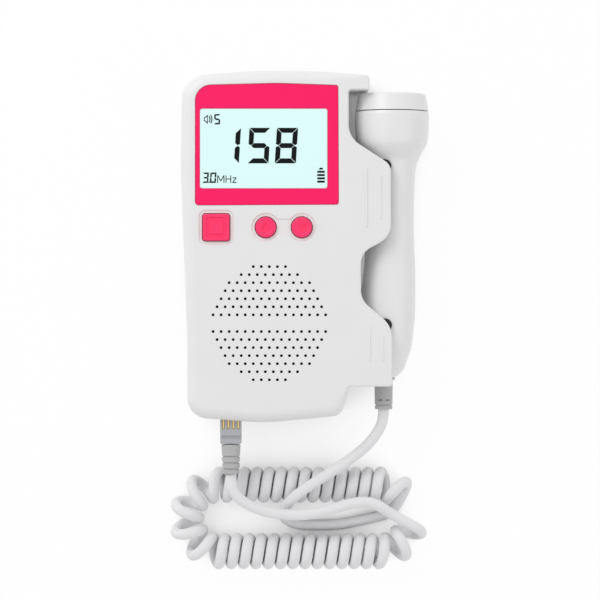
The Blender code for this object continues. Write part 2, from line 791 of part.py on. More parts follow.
def door_corners(margin):
    (left, _), (right, high) = battery_bay()
    low = BODY_BOTTOM - OVERRUN
    return (left - margin, low), (right + margin, high + margin)


def build_rear_housing():
    rear = body_slab("rear_housing", 0, SEAM_HEIGHT - GAP / 2, 0)
    room = outline_of(share_corners(ROOM_CORNER_SHARES, CORE_SIDE - CORE_WALL))
    cut(rear, sheet("rear_room", room, BACK_THICKNESS, SEAM_HEIGHT + OVERRUN))
    cut(rear, *channel_cutters("rear", CHANNEL_FLOOR, SEAM_HEIGHT + OVERRUN))
    floor_underside = CHANNEL_FLOOR - CRADLE_FLOOR_THICKNESS
    low = (CORE_SIDE + LIP_ROUND, BODY_BOTTOM, -OVERRUN)
    high = (BODY_RIGHT + OVERRUN, along(HORN_SHARE) - HEAD_RADIUS, floor_underside)
    cut(rear, box("cradle_underside", low, high))
    (left, bottom), (right, top) = battery_bay()
    bay = box(
        "bay_walls",
        (left - BAY_WALL, bottom - BAY_WALL, BACK_THICKNESS / 2),
        (right + BAY_WALL, top + BAY_WALL, REAR_WALL_TOP),
    )
    join(rear, bay)
    for number, (x, y) in enumerate(screw_places(), 1):
        low = (x, y, BACK_THICKNESS / 2)
        join(rear, cylinder(f"rear_boss_{number}", REAR_BOSS_RADIUS, low, (x, y, REAR_WALL_TOP), SMALL_SIDES))
    cut(rear, box("bay_room", (left, bottom, -OVERRUN), (right, top, REAR_WALL_TOP + OVERRUN)))
    (left, bottom), (right, top) = door_corners(DOOR_MARGIN + GAP)
    cut(rear, box("door_recess", (left, bottom, -OVERRUN), (right, top, DOOR_THICKNESS + GAP)))
    for number, (x, y) in enumerate(screw_places(), 1):
        bore = SCREW_RADIUS + GAP
        sink = SCREW_HEAD_RADIUS + GAP
        low = (x, y, -OVERRUN)
        high = (x, y, REAR_WALL_TOP + OVERRUN)
        cut(rear, cylinder(f"screw_bore_{number}", bore, low, high, SMALL_SIDES))
        cut(rear, cylinder(f"screw_sink_{number}", sink, low, (x, y, SCREW_SEAT_HEIGHT), SMALL_SIDES))
    finish(rear, WHITE, 0.45)


def build_battery_door():
    """The door is a slice of the rear shell's own outside, so that its end follows the round edge."""
    door = body_slab("battery_door", 0, SEAM_HEIGHT, 0)
    (left, bottom), (right, top) = door_corners(DOOR_MARGIN)
    slice_box = box("door_slice", (left, bottom, -OVERRUN), (right, top, DOOR_THICKNESS))
    combine(door, "INTERSECT", [slice_box])
    finish(door, WHITE, 0.5)


def build_batteries():
    (_, low), (_, high) = battery_bay()
    middle = across(BATTERY_X_SHARE)
    for number, side in ((1, -1), (2, 1)):
        x = middle + side * BATTERY_SPACING / 2
        base = low if side < 0 else high
        spring_end = base - side * GAP
        cell_base = spring_end - side * (SPRING_LENGTH + GAP)
        cell_top = cell_base - side * BATTERY_LENGTH
        contact_low = cell_top - side * GAP
        shoulder = BATTERY_LENGTH - BATTERY_NUB_LENGTH
        profile = [
            (0, BATTERY_LENGTH),
            (BATTERY_NUB_RADIUS, BATTERY_LENGTH),
            (BATTERY_NUB_RADIUS, shoulder),
            (BATTERY_RADIUS, shoulder),
            (BATTERY_RADIUS, 0),
            (0, 0),
        ]
        axis = (0, -side, 0)
        battery = turned(f"battery_{number}", profile, (x, cell_base, BATTERY_Z), axis)
        finish(battery, BLUE, 0.4)
        cone = [
            (0, SPRING_LENGTH),
            (SPRING_TIP_RADIUS, SPRING_LENGTH),
            (SPRING_BASE_RADIUS, 0),
            (0, 0),
        ]
        spring = turned(f"battery_spring_{number}", cone, (x, spring_end, BATTERY_Z), axis, SMALL_SIDES)
        finish(spring, STEEL, 0.3, 1.0)
        contact_high = contact_low - side * CONTACT_THICKNESS
        contact = box(
            f"battery_contact_{number}",
            (x - CONTACT_SIZE / 2, min(contact_low, contact_high), BATTERY_Z - CONTACT_SIZE / 2),
            (x + CONTACT_SIZE / 2, max(contact_low, contact_high), BATTERY_Z + CONTACT_SIZE / 2),
        )
        finish(contact, STEEL, 0.3, 1.0)


def build_screws():
    for number, (x, y) in enumerate(screw_places(), 1):
        head_top = SCREW_SEAT_HEIGHT - GAP
        head_low = head_top - SCREW_HEAD_HEIGHT
        profile = [
            (0, SCREW_LENGTH),
            (SCREW_RADIUS, SCREW_LENGTH),
            (SCREW_RADIUS, 0),
            (SCREW_HEAD_RADIUS, 0),
            (SCREW_HEAD_RADIUS, head_low - head_top),
            (0, head_low - head_top),
        ]
        screw = turned(f"housing_screw_{number}", profile, (x, y, head_top), steps=SMALL_SIDES)
        finish(screw, STEEL, 0.35, 1.0)


def build_face():
    panel_top = BODY_THICKNESS - PANEL_DROP
    panel_bottom = panel_top - PANEL_THICKNESS
    panel = sheet("face_panel", outline_of(panel_corners()), panel_bottom, panel_top)
    hole = outline_of(window_corners(-GAP))
    cut(panel, sheet("panel_window", hole, panel_bottom - OVERRUN, panel_top + OVERRUN))
    finish(panel, PINK, 0.35)
    window_outline = outline_of(window_corners())
    window = sheet("display_window", window_outline, panel_bottom, panel_bottom + WINDOW_THICKNESS)
    finish(window, CYAN, 0.1)
    x, y = across(WINDOW_X_SHARE), along(WINDOW_Y_SHARE)
    half_width, half_length = DISPLAY_WIDTH / 2, DISPLAY_LENGTH / 2
    glass_top = FACE_UNDERSIDE - GAP
    glass_bottom = glass_top - DISPLAY_THICKNESS
    low = (x - half_width, y - half_length, glass_bottom)
    glass = box("lcd_glass", low, (x + half_width, y + half_length, glass_top))
    finish(glass, CYAN, 0.15)
    low = (x - half_width, y - half_length, BOARD_TOP + GAP)
    light = box("lcd_backlight", low, (x + half_width, y + half_length, glass_bottom - GAP))
    finish(light, WHITE, 0.4)


def build_board():
    corners = share_corners(ROOM_CORNER_SHARES, CORE_SIDE - CORE_WALL)
    board = sheet("main_board", outline_of(corners, -BOARD_EDGE_GAP), BOARD_BOTTOM, BOARD_TOP)
    for number, (x, y) in enumerate(screw_places(), 1):
        low = (x, y, BOARD_BOTTOM - OVERRUN)
        high = (x, y, BOARD_TOP + OVERRUN)
        hole = FRONT_BOSS_RADIUS + GAP
        cut(board, cylinder(f"board_hole_{number}", hole, low, high, SMALL_SIDES))
    finish(board, BOARD_GREEN, 0.5)


def build_buttons():
    flange_top = FACE_UNDERSIDE - GAP
    flange_bottom = flange_top - BUTTON_FLANGE_THICKNESS
    stem_bottom = SWITCH_TOP + BUTTON_TRAVEL + BUTTON_FREE_PLAY
    cap_top = BODY_THICKNESS + BUTTON_HEIGHT
    for key, (x, y) in button_places().items():
        if key == "power":
            flange_size = POWER_SIZE + 2 * (GAP + BUTTON_FLANGE)
            cap_outline = outline_of(rectangle(x, y, POWER_SIZE, POWER_SIZE, POWER_CORNER))
            flange_outline = outline_of(rectangle(x, y, flange_size, flange_size, POWER_CORNER))
            button = sheet("power_button", cap_outline, flange_bottom + GAP, cap_top)
            flange = sheet("power_flange", flange_outline, flange_bottom, flange_top)
        else:
            low = (x, y, flange_bottom + GAP)
            button = cylinder(key + "_button", VOLUME_RADIUS, low, (x, y, cap_top))
            flange_radius = VOLUME_RADIUS + GAP + BUTTON_FLANGE
            flange = cylinder(key + "_flange", flange_radius, (x, y, flange_bottom), (x, y, flange_top))
        stem_top = (x, y, flange_top - GAP)
        stem = cylinder(key + "_stem", BUTTON_STEM_RADIUS, (x, y, stem_bottom), stem_top, SMALL_SIDES)
        join(button, flange, stem)
        finish(button, BUTTON_PINK, 0.4)
        half = SWITCH_SIZE / 2
        switch_low = BOARD_TOP + GAP
        switch_high = switch_low + SWITCH_HEIGHT
        switch = box(f"{key}_switch", (x - half, y - half, switch_low), (x + half, y + half, switch_high))
        low = (x, y, switch_low + SWITCH_HEIGHT / 2)
        join(switch, cylinder(key + "_plunger", SWITCH_PLUNGER_RADIUS, low, (x, y, SWITCH_TOP), SMALL_SIDES))
        finish(switch, DARK, 0.5)


def build_speaker():
    """The frame, cone and magnet, turned about the grille's middle. Heights are above the board."""
    origin = (across(SPEAKER_X_SHARE), along(SPEAKER_Y_SHARE), BOARD_TOP + GAP)
    top = FACE_UNDERSIDE - GAP - origin[2]
    magnet_profile = [(0, MAGNET_THICKNESS), (MAGNET_RADIUS, MAGNET_THICKNESS), (MAGNET_RADIUS, 0), (0, 0)]
    magnet = turned("speaker_magnet", magnet_profile, origin)
    finish(magnet, STEEL, 0.4, 1.0)
    plate_low = MAGNET_THICKNESS + GAP
    plate_high = plate_low + SPEAKER_PLATE_THICKNESS
    rim_low = top - SPEAKER_RIM_THICKNESS
    rim_inner = SPEAKER_RADIUS - SPEAKER_RIM_WIDTH
    frame_profile = [
        (SPEAKER_RADIUS, top),
        (SPEAKER_RADIUS, rim_low),
        (rim_inner + SPEAKER_PLATE_THICKNESS, rim_low),
        (MAGNET_RADIUS + SPEAKER_PLATE_THICKNESS, plate_low),
        (CONE_CAP_RADIUS, plate_low),
        (CONE_CAP_RADIUS, plate_high),
        (MAGNET_RADIUS, plate_high),
        (rim_inner, rim_low),
        (rim_inner, top),
    ]
    frame = turned("speaker_frame", frame_profile, origin, closed=True)
    finish(frame, STEEL, 0.45, 1.0)
    cone_radius = rim_inner - GAP
    surround_inner = cone_radius - SPEAKER_SURROUND_WIDTH
    cone_low = plate_high + GAP
    cap_top = cone_low + CONE_LIFT + CONE_THICKNESS
    surround_low = rim_low - GAP
    edge_top = rim_low + SPEAKER_PLATE_THICKNESS
    cone_profile = [
        (0, cap_top),
        (CONE_CAP_RADIUS, cone_low + CONE_LIFT),
        (surround_inner, surround_low + CONE_THICKNESS),
        (cone_radius, edge_top),
        (cone_radius, edge_top - CONE_THICKNESS),
        (surround_inner, surround_low),
        (CONE_CAP_RADIUS, cone_low),
        (0, cone_low),
    ]
    cone = turned("speaker_cone", cone_profile, origin)
    finish(cone, PAPER, 0.8)


def build_sockets():
    low = (PLUG_X - SOCKET_WIDTH / 2, SOCKET_FRONT, BOARD_TOP + GAP)
    high = (PLUG_X + SOCKET_WIDTH / 2, SOCKET_FRONT + SOCKET_DEPTH, BOARD_TOP + GAP + SOCKET_HEIGHT)
    socket = box("cord_socket", low, high)
    cut(socket, socket_cutter("socket_room"))
    finish(socket, DARK, 0.5)
    x = across(JACK_X_SHARE)
    low = (x - JACK_WIDTH / 2, SOCKET_FRONT, BOARD_TOP + GAP)
    high = (x + JACK_WIDTH / 2, SOCKET_FRONT + JACK_DEPTH, BOARD_TOP + GAP + JACK_HEIGHT)
    jack = box("headphone_jack", low, high)
    nose_end = (x, SOCKET_FRONT - JACK_NOSE_LENGTH, JACK_Z)
    nose_start = (x, SOCKET_FRONT + OVERRUN, JACK_Z)
    join(jack, cylinder("jack_nose", JACK_NOSE_RADIUS, nose_end, nose_start))
    bore_start = (x, SOCKET_FRONT - JACK_NOSE_LENGTH - OVERRUN, JACK_Z)
    bore_end = (x, SOCKET_FRONT + JACK_DEPTH - OVERRUN, JACK_Z)
    cut(jack, cylinder("jack_bore", JACK_BORE_RADIUS, bore_start, bore_end, SMALL_SIDES))
    finish(jack, DARK, 0.5)


def build_plug():
    half_width, half_height = PLUG_WIDTH / 2, PLUG_HEIGHT / 2
    low = (PLUG_X - half_width, PLUG_END, PLUG_Z - half_height)
    plug = box("plug_body", low, (PLUG_X + half_width, PLUG_TOP, PLUG_Z + half_height))
    bevel = plug.modifiers.new("Edges", "BEVEL")
    bevel.width = PLUG_CHAMFER
    bevel.segments = 1
    contact_top = PLUG_Z + half_height - PLUG_CONTACT_DROP
    contact_bottom = contact_top - PLUG_CONTACT_HEIGHT
    front = PLUG_TOP - GAP
    for number in range(1, PLUG_CONTACT_COUNT + 1):
        x = PLUG_X + (number - (PLUG_CONTACT_COUNT + 1) / 2) * PLUG_CONTACT_PITCH
        half = PLUG_CONTACT_WIDTH / 2
        low = (x - half, front - PLUG_CONTACT_LENGTH, contact_bottom)
        contact = box(f"plug_contact_{number}", low, (x + half, front, contact_top))
        finish(contact, GOLD, 0.25, 1.0)
        slot_low = (low[0] - GAP, low[1] - GAP, low[2] - GAP)
        slot_high = (x + half + GAP, PLUG_TOP + OVERRUN, contact_top + OVERRUN)
        cut(plug, box(f"contact_slot_{number}", slot_low, slot_high))
    finish(plug, GREY, 0.2)


def boot_profile(length, top_radius, end_radius, grooves, depth):
    """A tapering boot from its top at 0 to its end, with evenly spaced grooves."""
    bands = 2 * grooves + 1
    profile = [(0, 0)]
    for band in range(bands):
        for share in (band / bands, (band + 1) / bands):
            radius = top_radius + (end_radius - top_radius) * share
            profile.append((radius - depth * (band % 2), -length * share))
    profile.append((0, -length))
    return profile


def build_boot():
    profile = boot_profile(BOOT_LENGTH, BOOT_TOP_RADIUS, BOOT_END_RADIUS, BOOT_GROOVE_COUNT, BOOT_GROOVE_DEPTH)
    boot = turned("plug_boot", profile, (PLUG_X, PLUG_END - GAP, PLUG_Z), (0, 1, 0))
    finish(boot, GREY, 0.5)


def probe_rings(rows, wall=0.0):
    """Elliptical rings along the probe from its head to its tail, drawn in by the wall."""
    rings = []
    for along_share, shift, half_width, half_depth in rows:
        y = HEAD_END - along_share * PROBE_LENGTH
        x = HEAD_X + shift * HEAD_RADIUS
        ring = []
        for side in range(SECTION_SIDES):
            angle = 2 * math.pi * (side + 0.5) / SECTION_SIDES
            ring.append((
                x + (half_width * HEAD_RADIUS - wall) * math.cos(angle),
                y,
                PROBE_Z + (half_depth * HEAD_RADIUS - wall) * math.sin(angle),
            ))
        rings.append(ring)
    return rings


def build_probe():
    outer_rings = probe_rings(PROBE_SECTION_SHARES)
    for part, facing in (("front", 1), ("rear", -1)):
        shell = loft(f"probe_{part}_shell", outer_rings)
        inner_rings = probe_rings(PROBE_SECTION_SHARES[:-2], PROBE_WALL)
        mouth = [(x, y + OVERRUN, z) for x, y, z in inner_rings[0]]
        cut(shell, loft(f"{part}_hollow", [mouth] + inner_rings))
        bore = RELIEF_STEM_RADIUS + GAP
        low = (TAIL_X, PROBE_END - OVERRUN, PROBE_Z)
        high = (TAIL_X, PROBE_END + RELIEF_STEM_LENGTH + OVERRUN, PROBE_Z)
        cut(shell, cylinder(f"{part}_tail_bore", bore, low, high, SMALL_SIDES))
        seam = PROBE_Z + facing * GAP / 2
        far = PROBE_Z - facing * (HEAD_RADIUS + OVERRUN)
        half = box(
            f"{part}_other_half",
            (TAIL_X - 2 * HEAD_RADIUS, PROBE_END - OVERRUN, min(seam, far)),
            (HEAD_X + 2 * HEAD_RADIUS, HEAD_END + OVERRUN, max(seam, far)),
        )
        cut(shell, half)
        finish(shell, WHITE, 0.4)
    seam_y = HEAD_END - CAP_SHARE * PROBE_LENGTH + GAP
    cap_length = HEAD_END - seam_y
    end_radius = CAP_END_SHARE * HEAD_RADIUS
    base_radius = PROBE_SECTION_SHARES[0][2] * HEAD_RADIUS
    room_top = cap_length - CAP_END_THICKNESS
    cap_profile = [
        (0, cap_length),
        (end_radius - CAP_EDGE_ROUND, cap_length),
        (end_radius, cap_length - CAP_EDGE_ROUND),
        (CAP_WAIST_SHARE * HEAD_RADIUS, cap_length / 2),
        (base_radius, 0),
        (base_radius - CAP_WALL, 0),
        (end_radius - CAP_WALL, room_top),
        (0, room_top),
    ]
    cap = turned("probe_head_cap", cap_profile, (HEAD_X, seam_y, PROBE_Z), (0, 1, 0))
    finish(cap, WHITE, 0.35)
    disc_top = seam_y + room_top - GAP
    disc_bottom = disc_top - TRANSDUCER_THICKNESS
    disc = cylinder(
        "transducer_disc",
        TRANSDUCER_RADIUS,
        (HEAD_X, disc_bottom, PROBE_Z),
        (HEAD_X, disc_top, PROBE_Z),
    )
    finish(disc, GOLD, 0.4, 1.0)
    backing_top = disc_bottom - GAP
    backing = cylinder(
        "transducer_backing",
        TRANSDUCER_RADIUS,
        (HEAD_X, backing_top - BACKING_THICKNESS, PROBE_Z),
        (HEAD_X, backing_top, PROBE_Z),
    )
    finish(backing, DARK, 0.7)
    board_x = HEAD_X + PROBE_SECTION_SHARES[PROBE_BOARD_SECTION][1] * HEAD_RADIUS
    board_top = HEAD_END - PROBE_BOARD_START_SHARE * PROBE_LENGTH
    half_width, half_height = PROBE_BOARD_WIDTH / 2, PROBE_BOARD_THICKNESS / 2
    board = box(
        "probe_board",
        (board_x - half_width, board_top - PROBE_BOARD_LENGTH, PROBE_Z - half_height),
        (board_x + half_width, board_top, PROBE_Z + half_height),
    )
    finish(board, BOARD_GREEN, 0.5)


def relief_length():
    return RELIEF_FLANGE_THICKNESS + RELIEF_SLEEVE_LENGTH + RELIEF_GROOVE_WIDTH + RELIEF_RING_LENGTH


def build_relief():
    """The strain relief below the probe, with its stem in the probe's tail."""
    flange_end = -RELIEF_FLANGE_THICKNESS
    sleeve_end = flange_end - RELIEF_SLEEVE_LENGTH
    ring_start = sleeve_end - RELIEF_GROOVE_WIDTH
    profile = [
        (0, RELIEF_STEM_LENGTH),
        (RELIEF_STEM_RADIUS, RELIEF_STEM_LENGTH),
        (RELIEF_STEM_RADIUS, 0),
        (RELIEF_FLANGE_RADIUS, 0),
        (RELIEF_FLANGE_RADIUS, flange_end),
        (RELIEF_RADIUS, flange_end),
        (RELIEF_RADIUS, sleeve_end),
        (RELIEF_RADIUS - RELIEF_GROOVE_DEPTH, sleeve_end),
        (RELIEF_RADIUS - RELIEF_GROOVE_DEPTH, ring_start),
        (RELIEF_RADIUS, ring_start),
        (RELIEF_RADIUS, -relief_length()),
        (0, -relief_length()),
    ]
    origin = (TAIL_X, PROBE_END - GAP, PROBE_Z)
    relief = turned("probe_strain_relief", profile, origin, (0, 1, 0))
    finish(relief, GREY, 0.5)


def build_pads():
    for name, (x_share, y_share) in zip(("upper", "lower"), PAD_SHARES):
        x, y = across(x_share), HEAD_END - y_share * PROBE_LENGTH
        high = CHANNEL_TOP - GAP
        pad = cylinder(f"cradle_pad_{name}", PAD_RADIUS, (x, y, high - PAD_THICKNESS), (x, y, high))
        finish(pad, DARK, 0.7)


def ring_place(distance):
    """The place and heading on the ring's middle line, clockwise from its right end."""
    bend = math.pi * COIL_BEND_RADIUS
    whole = 2 * (bend + COIL_STRAIGHT)
    distance %= whole
    half = COIL_STRAIGHT / 2
    if distance < bend / 2:
        turn = distance / COIL_BEND_RADIUS
        centre, angle = half, -turn
    elif distance < bend / 2 + COIL_STRAIGHT:
        x = half - (distance - bend / 2)
        return Vector((COIL_X + x, COIL_Y - COIL_BEND_RADIUS, 0)), Vector((-1, 0, 0))
    elif distance < 3 * bend / 2 + COIL_STRAIGHT:
        turn = (distance - bend / 2 - COIL_STRAIGHT) / COIL_BEND_RADIUS
        centre, angle = -half, -math.pi / 2 - turn
    elif distance < 3 * bend / 2 + 2 * COIL_STRAIGHT:
        x = -half + (distance - 3 * bend / 2 - COIL_STRAIGHT)
        return Vector((COIL_X + x, COIL_Y + COIL_BEND_RADIUS, 0)), Vector((1, 0, 0))
    else:
        turn = (distance - 3 * bend / 2 - 2 * COIL_STRAIGHT) / COIL_BEND_RADIUS
        centre, angle = half, math.pi / 2 - turn
    out = Vector((math.cos(angle), math.sin(angle), 0))
    heading = Vector((out.y, -out.x, 0))
    return Vector((COIL_X + centre, COIL_Y, 0)) + out * COIL_BEND_RADIUS, heading


def coil_points():
    """The curly cord's points: curls along the ring, opened where it bends, with straight ends."""
    bend = math.pi * COIL_BEND_RADIUS
    whole = 2 * (bend + COIL_STRAIGHT)
    start = COIL_START_TURN_SHARE * bend
    end = whole - COIL_END_TURN_SHARE * bend
    points = []
    distance, count = start, 0
    turn_step = 2 * math.pi / POINTS_PER_CURL
    middle_z = COIL_REST + CORD_RADIUS + CURL_RADIUS
    while distance < end or count % POINTS_PER_CURL != POINTS_PER_CURL // 2:
        points.append(curl_point(distance, math.pi / 2 + count * turn_step, middle_z))
        in_straight = (
            bend / 2 < distance < bend / 2 + COIL_STRAIGHT
            or 3 * bend / 2 + COIL_STRAIGHT < distance < 3 * bend / 2 + 2 * COIL_STRAIGHT
        )
        pitch = COIL_STRAIGHT_PITCH if in_straight else COIL_BEND_PITCH
        distance += pitch / POINTS_PER_CURL
        count += 1
    phase = math.pi / 2 + count * turn_step
    points.append(curl_point(distance, phase, middle_z))
    print(f"curls: {count / POINTS_PER_CURL}, end past the mark by {(distance - end) / MM:.1f} mm")
    tail = 2 * CORD_RADIUS
    first = curl_heading(start, math.pi / 2)
    last = curl_heading(distance, phase)
    return [points[0] - first * tail] + points + [points[-1] + last * tail]


def curl_point(distance, phase, middle_z):
    place_on_ring, heading = ring_place(distance)
    out = Vector((-heading.y, heading.x, 0))
    swing = out * -math.cos(phase) * CURL_RADIUS
    return place_on_ring + swing + Vector((0, 0, middle_z + CURL_RADIUS * math.sin(phase)))


def curl_heading(distance, phase):
    """The cord's direction at a point of a curl, level with the surface."""
    small = COIL_BEND_PITCH / POINTS_PER_CURL / POINTS_PER_CURL
    step = 2 * math.pi * small / COIL_BEND_PITCH
    change = curl_point(distance + small, phase + step, 0) - curl_point(distance - small, phase - step, 0)
    change.z = 0
    return change.normalized()


def least_gap(points, reach):
    """The least gap between the cord's turns, measured between points over half a curl apart."""
    fine = []
    for first, second in zip(points, points[1:]):
        fine += [first.lerp(second, step / GAP_STEPS) for step in range(GAP_STEPS)]
    least = math.inf
    for index, point in enumerate(fine):
        for other in fine[index + reach :]:
            least = min(least, (point - other).length)
    return least - 2 * CORD_RADIUS


def tube(name, points, bevel_resolution):
    curve = bpy.data.curves.new(name, "CURVE")
    curve.dimensions = "3D"
    curve.bevel_depth = CORD_RADIUS
    curve.bevel_resolution = bevel_resolution
    curve.use_fill_caps = True
    spline = curve.splines.new("POLY")
    spline.points.add(len(points) - 1)
    for point, place_of in zip(spline.points, points):
        point.co = (*place_of, 1)
    obj = place(name, curve)
    return finish(obj, WHITE, 0.5)


def smooth_points(route):
    """Points about a step apart on a smooth curve through the route's own points."""
    padded = [2 * route[0] - route[1]] + route + [2 * route[-1] - route[-2]]
    points = []
    for index in range(len(route) - 1):
        before, start, end, after = padded[index : index + 4]
        steps = max(1, round((end - start).length / LEAD_STEP))
        for step in range(steps):
            t = step / steps
            pull = (after - start) / 2
            push = (end - before) / 2
            points.append(
                start * (2 * t**3 - 3 * t**2 + 1)
                + push * (t**3 - 2 * t**2 + t)
                + end * (3 * t**2 - 2 * t**3)
                + pull * (t**3 - t**2)
            )
    return points + [route[-1]]


def with_straight_ends(start, start_heading, route, end, end_heading):
    """A lead's points, straight for one diameter where it meets the pieces at its ends."""
    straight = 2 * CORD_RADIUS
    middle = [Vector(point) for point in route]
    leaving = start + start_heading * straight
    arriving = end - end_heading * straight
    return [start] + smooth_points([leaving] + middle + [arriving]) + [end]


def build_cord():
    coil = coil_points()
    print(f"least gap in the coil: {least_gap(coil, 2 * POINTS_PER_CURL) / MM:.2f} mm")
    tube("cord_coil", coil, 1)
    coil_in = (coil[1] - coil[0]).normalized()
    coil_out = (coil[-1] - coil[-2]).normalized()
    down = Vector((0, -1, 0))
    boot_end = Vector((PLUG_X, PLUG_END - GAP - BOOT_LENGTH - GAP, PLUG_Z))
    plug_lead = with_straight_ends(boot_end, down, PLUG_LEAD_ROUTE, coil[0] - coil_in * GAP, coil_in)
    tube("cord_lead_plug", plug_lead, 2)
    relief_end = Vector((TAIL_X, PROBE_END - GAP - relief_length() - GAP, PROBE_Z))
    coil_end = coil[-1] + coil_out * GAP
    probe_lead = with_straight_ends(coil_end, coil_out, PROBE_LEAD_ROUTE, relief_end, -down)
    tube("cord_lead_probe", probe_lead, 2)


def carry_the_probe():
    """One empty on the probe's axis carries what leaves the cradle with it."""
    empty = pivot("probe", (HEAD_X, (HEAD_END + PROBE_END) / 2, PROBE_Z))
    names = [
        "probe_front_shell",
        "probe_rear_shell",
        "probe_head_cap",
        "transducer_disc",
        "transducer_backing",
        "probe_board",
        "probe_strain_relief",
    ]
    carried_by(empty, *[bpy.data.objects[name] for name in names])


def main():
    clear_scene()
    build_front_housing()
    build_rear_housing()
    build_battery_door()
    build_batteries()
    build_screws()
    build_face()
    build_board()
    build_buttons()
    build_speaker()
    build_sockets()
    build_plug()
    build_boot()
    build_probe()
    build_relief()
    build_pads()
    build_cord()
    carry_the_probe()


main()
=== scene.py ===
"""Looks of a handheld heartbeat monitor: shells, face, buttons, display, probe, plug and curly lead.

Everything is in metres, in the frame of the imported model: +Z comes out of the display face, +Y runs
to the top end and +X to the probe's side.
"""

import math

import bmesh
import bpy
from bpy.props import FloatProperty, FloatVectorProperty, PointerProperty
from mathutils import Matrix, Vector


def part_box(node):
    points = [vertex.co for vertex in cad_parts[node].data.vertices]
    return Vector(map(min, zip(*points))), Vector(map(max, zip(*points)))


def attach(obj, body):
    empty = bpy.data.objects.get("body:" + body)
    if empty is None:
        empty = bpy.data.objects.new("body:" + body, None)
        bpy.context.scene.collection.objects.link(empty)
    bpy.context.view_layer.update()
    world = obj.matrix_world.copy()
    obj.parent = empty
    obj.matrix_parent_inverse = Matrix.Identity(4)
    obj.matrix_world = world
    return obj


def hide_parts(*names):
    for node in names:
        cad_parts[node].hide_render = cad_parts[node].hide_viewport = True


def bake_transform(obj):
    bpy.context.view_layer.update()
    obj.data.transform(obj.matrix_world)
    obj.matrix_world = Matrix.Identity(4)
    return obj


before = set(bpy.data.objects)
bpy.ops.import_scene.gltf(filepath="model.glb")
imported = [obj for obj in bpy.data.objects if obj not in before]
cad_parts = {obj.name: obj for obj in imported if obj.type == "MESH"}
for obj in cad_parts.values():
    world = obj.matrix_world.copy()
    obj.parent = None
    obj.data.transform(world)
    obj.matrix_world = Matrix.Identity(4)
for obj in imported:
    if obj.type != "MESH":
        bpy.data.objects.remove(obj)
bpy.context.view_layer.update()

bl_info = {
    "name": "Heartbeat Monitor Looks",
    "version": (1, 0, 0),
    "blender": (4, 5, 0),
    "location": "View3D > Sidebar > Monitor",
    "description": "Builds the visible surfaces of a handheld heartbeat monitor on its packed frame",
    "category": "Object",
}

MM = 0.001


def low_corner(node):
    return Vector(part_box(node)[0])


def high_corner(node):
    return Vector(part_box(node)[1])


def middle_of(node):
    return (low_corner(node) + high_corner(node)) / 2


# The body's outline, in the same sizes as the part's source
BODY_LENGTH = 135.2 * MM
BODY_WIDTH = 81.3 * MM
BODY_LEFT = -47.9 * MM
BODY_RIGHT = BODY_LEFT + BODY_WIDTH
BODY_BOTTOM = -BODY_LENGTH / 2
FACE_LEVEL = 32.0 * MM
FACE_UNDERSIDE = 29.3 * MM
CHANNEL_TOP = FACE_LEVEL - 2.95 * MM
PANEL_FLOOR = low_corner("face_panel").z - 0.3 * MM
REAR_TOP = 15.85 * MM
FRONT_BOTTOM = 16.15 * MM
GAP = 0.3 * MM
OVERRUN = 2.0 * MM
HEAD_RADIUS = 14.36 * MM
DISPLAY_HOLE = (46.2 * MM, 27.9 * MM)
PANE_SIZE = (48.8 * MM, 30.5 * MM)
PANE_HOLE = (49.0 * MM, 30.7 * MM)
KEY_SIDE = 10.3 * MM
KEY_RADIUS = 3.95 * MM
SCREW_HOLE_RADIUS = 1.5 * MM
SCREW_BOSS_RADIUS = 4.2 * MM
SCREW_SINK_RADIUS = 3.0 * MM
SCREW_SINK_TOP = 9.0 * MM
CELL_ROOM_RADIUS = 7.55 * MM
BAY_WALL = 1.2 * MM
CRADLE_HALF_DEPTH = 9.19 * MM
JACK_HOLE_RADIUS = 2.8 * MM
MARK_THICKNESS = 0.03 * MM
MARK_LIFT = 0.001 * MM

# Places that the frame gives
HEAD = middle_of("probe_head_cap")
HEAD_END = high_corner("probe_head_cap").y
PROBE_END = low_corner("probe_front_shell").y
PROBE_LENGTH = HEAD_END - PROBE_END
RELIEF = middle_of("probe_strain_relief")
RELIEF_END = low_corner("probe_strain_relief").y
PLUG = middle_of("plug_body")
BOOT_END = low_corner("plug_boot").y
WINDOW = middle_of("display_window")
GRILLE = middle_of("speaker_frame")
CRADLE_END = PROBE_END - 3.6 * MM

# One corner of the body's outline a row, anticlockwise from the lower left: its place across as a
# share of the width, its place along as a share of the length, its radius as a share of the width,
# and 1 where the edge is well rounded. A corner with no place along lies at the cradle's end.
NOTCH_SHARE = 0.7934
HORN_SHARE = 0.4438
BODY_CORNERS = [
    (0.0308, -0.4852, 0.0980, 1),
    (0.3924, -0.5015, 0.7400, 1),
    (0.7638, -0.4808, 0.0615, 1),
    (0.7909, None, 0.0100, 0),
    (1.0000, None, 0.0150, 0),
    (0.9975, -0.2263, 0.1230, 0),
    (0.8512, -0.1516, 0.0980, 0),
    (0.8512, -0.0192, 0.0860, 0),
    (0.9926, 0.0266, 0.0980, 0),
    (0.9926, 0.2308, 0.0615, 0),
    (NOTCH_SHARE, 0.3092, 0.1110, 0),
    (NOTCH_SHARE, HORN_SHARE, 0.0140, 0),
    (0.8918, HORN_SHARE, 0.0140, 0),
    (0.8918, 0.4852, 0.0200, 0),
    (0.5892, 0.5000, 0.7400, 1),
    (0.3186, 0.4978, 0.7400, 1),
    (0.0062, 0.4837, 0.1230, 1),
    (0.0000, 0.2219, 0.7400, 1),
    (0.0308, -0.2589, 0.7400, 1),
]
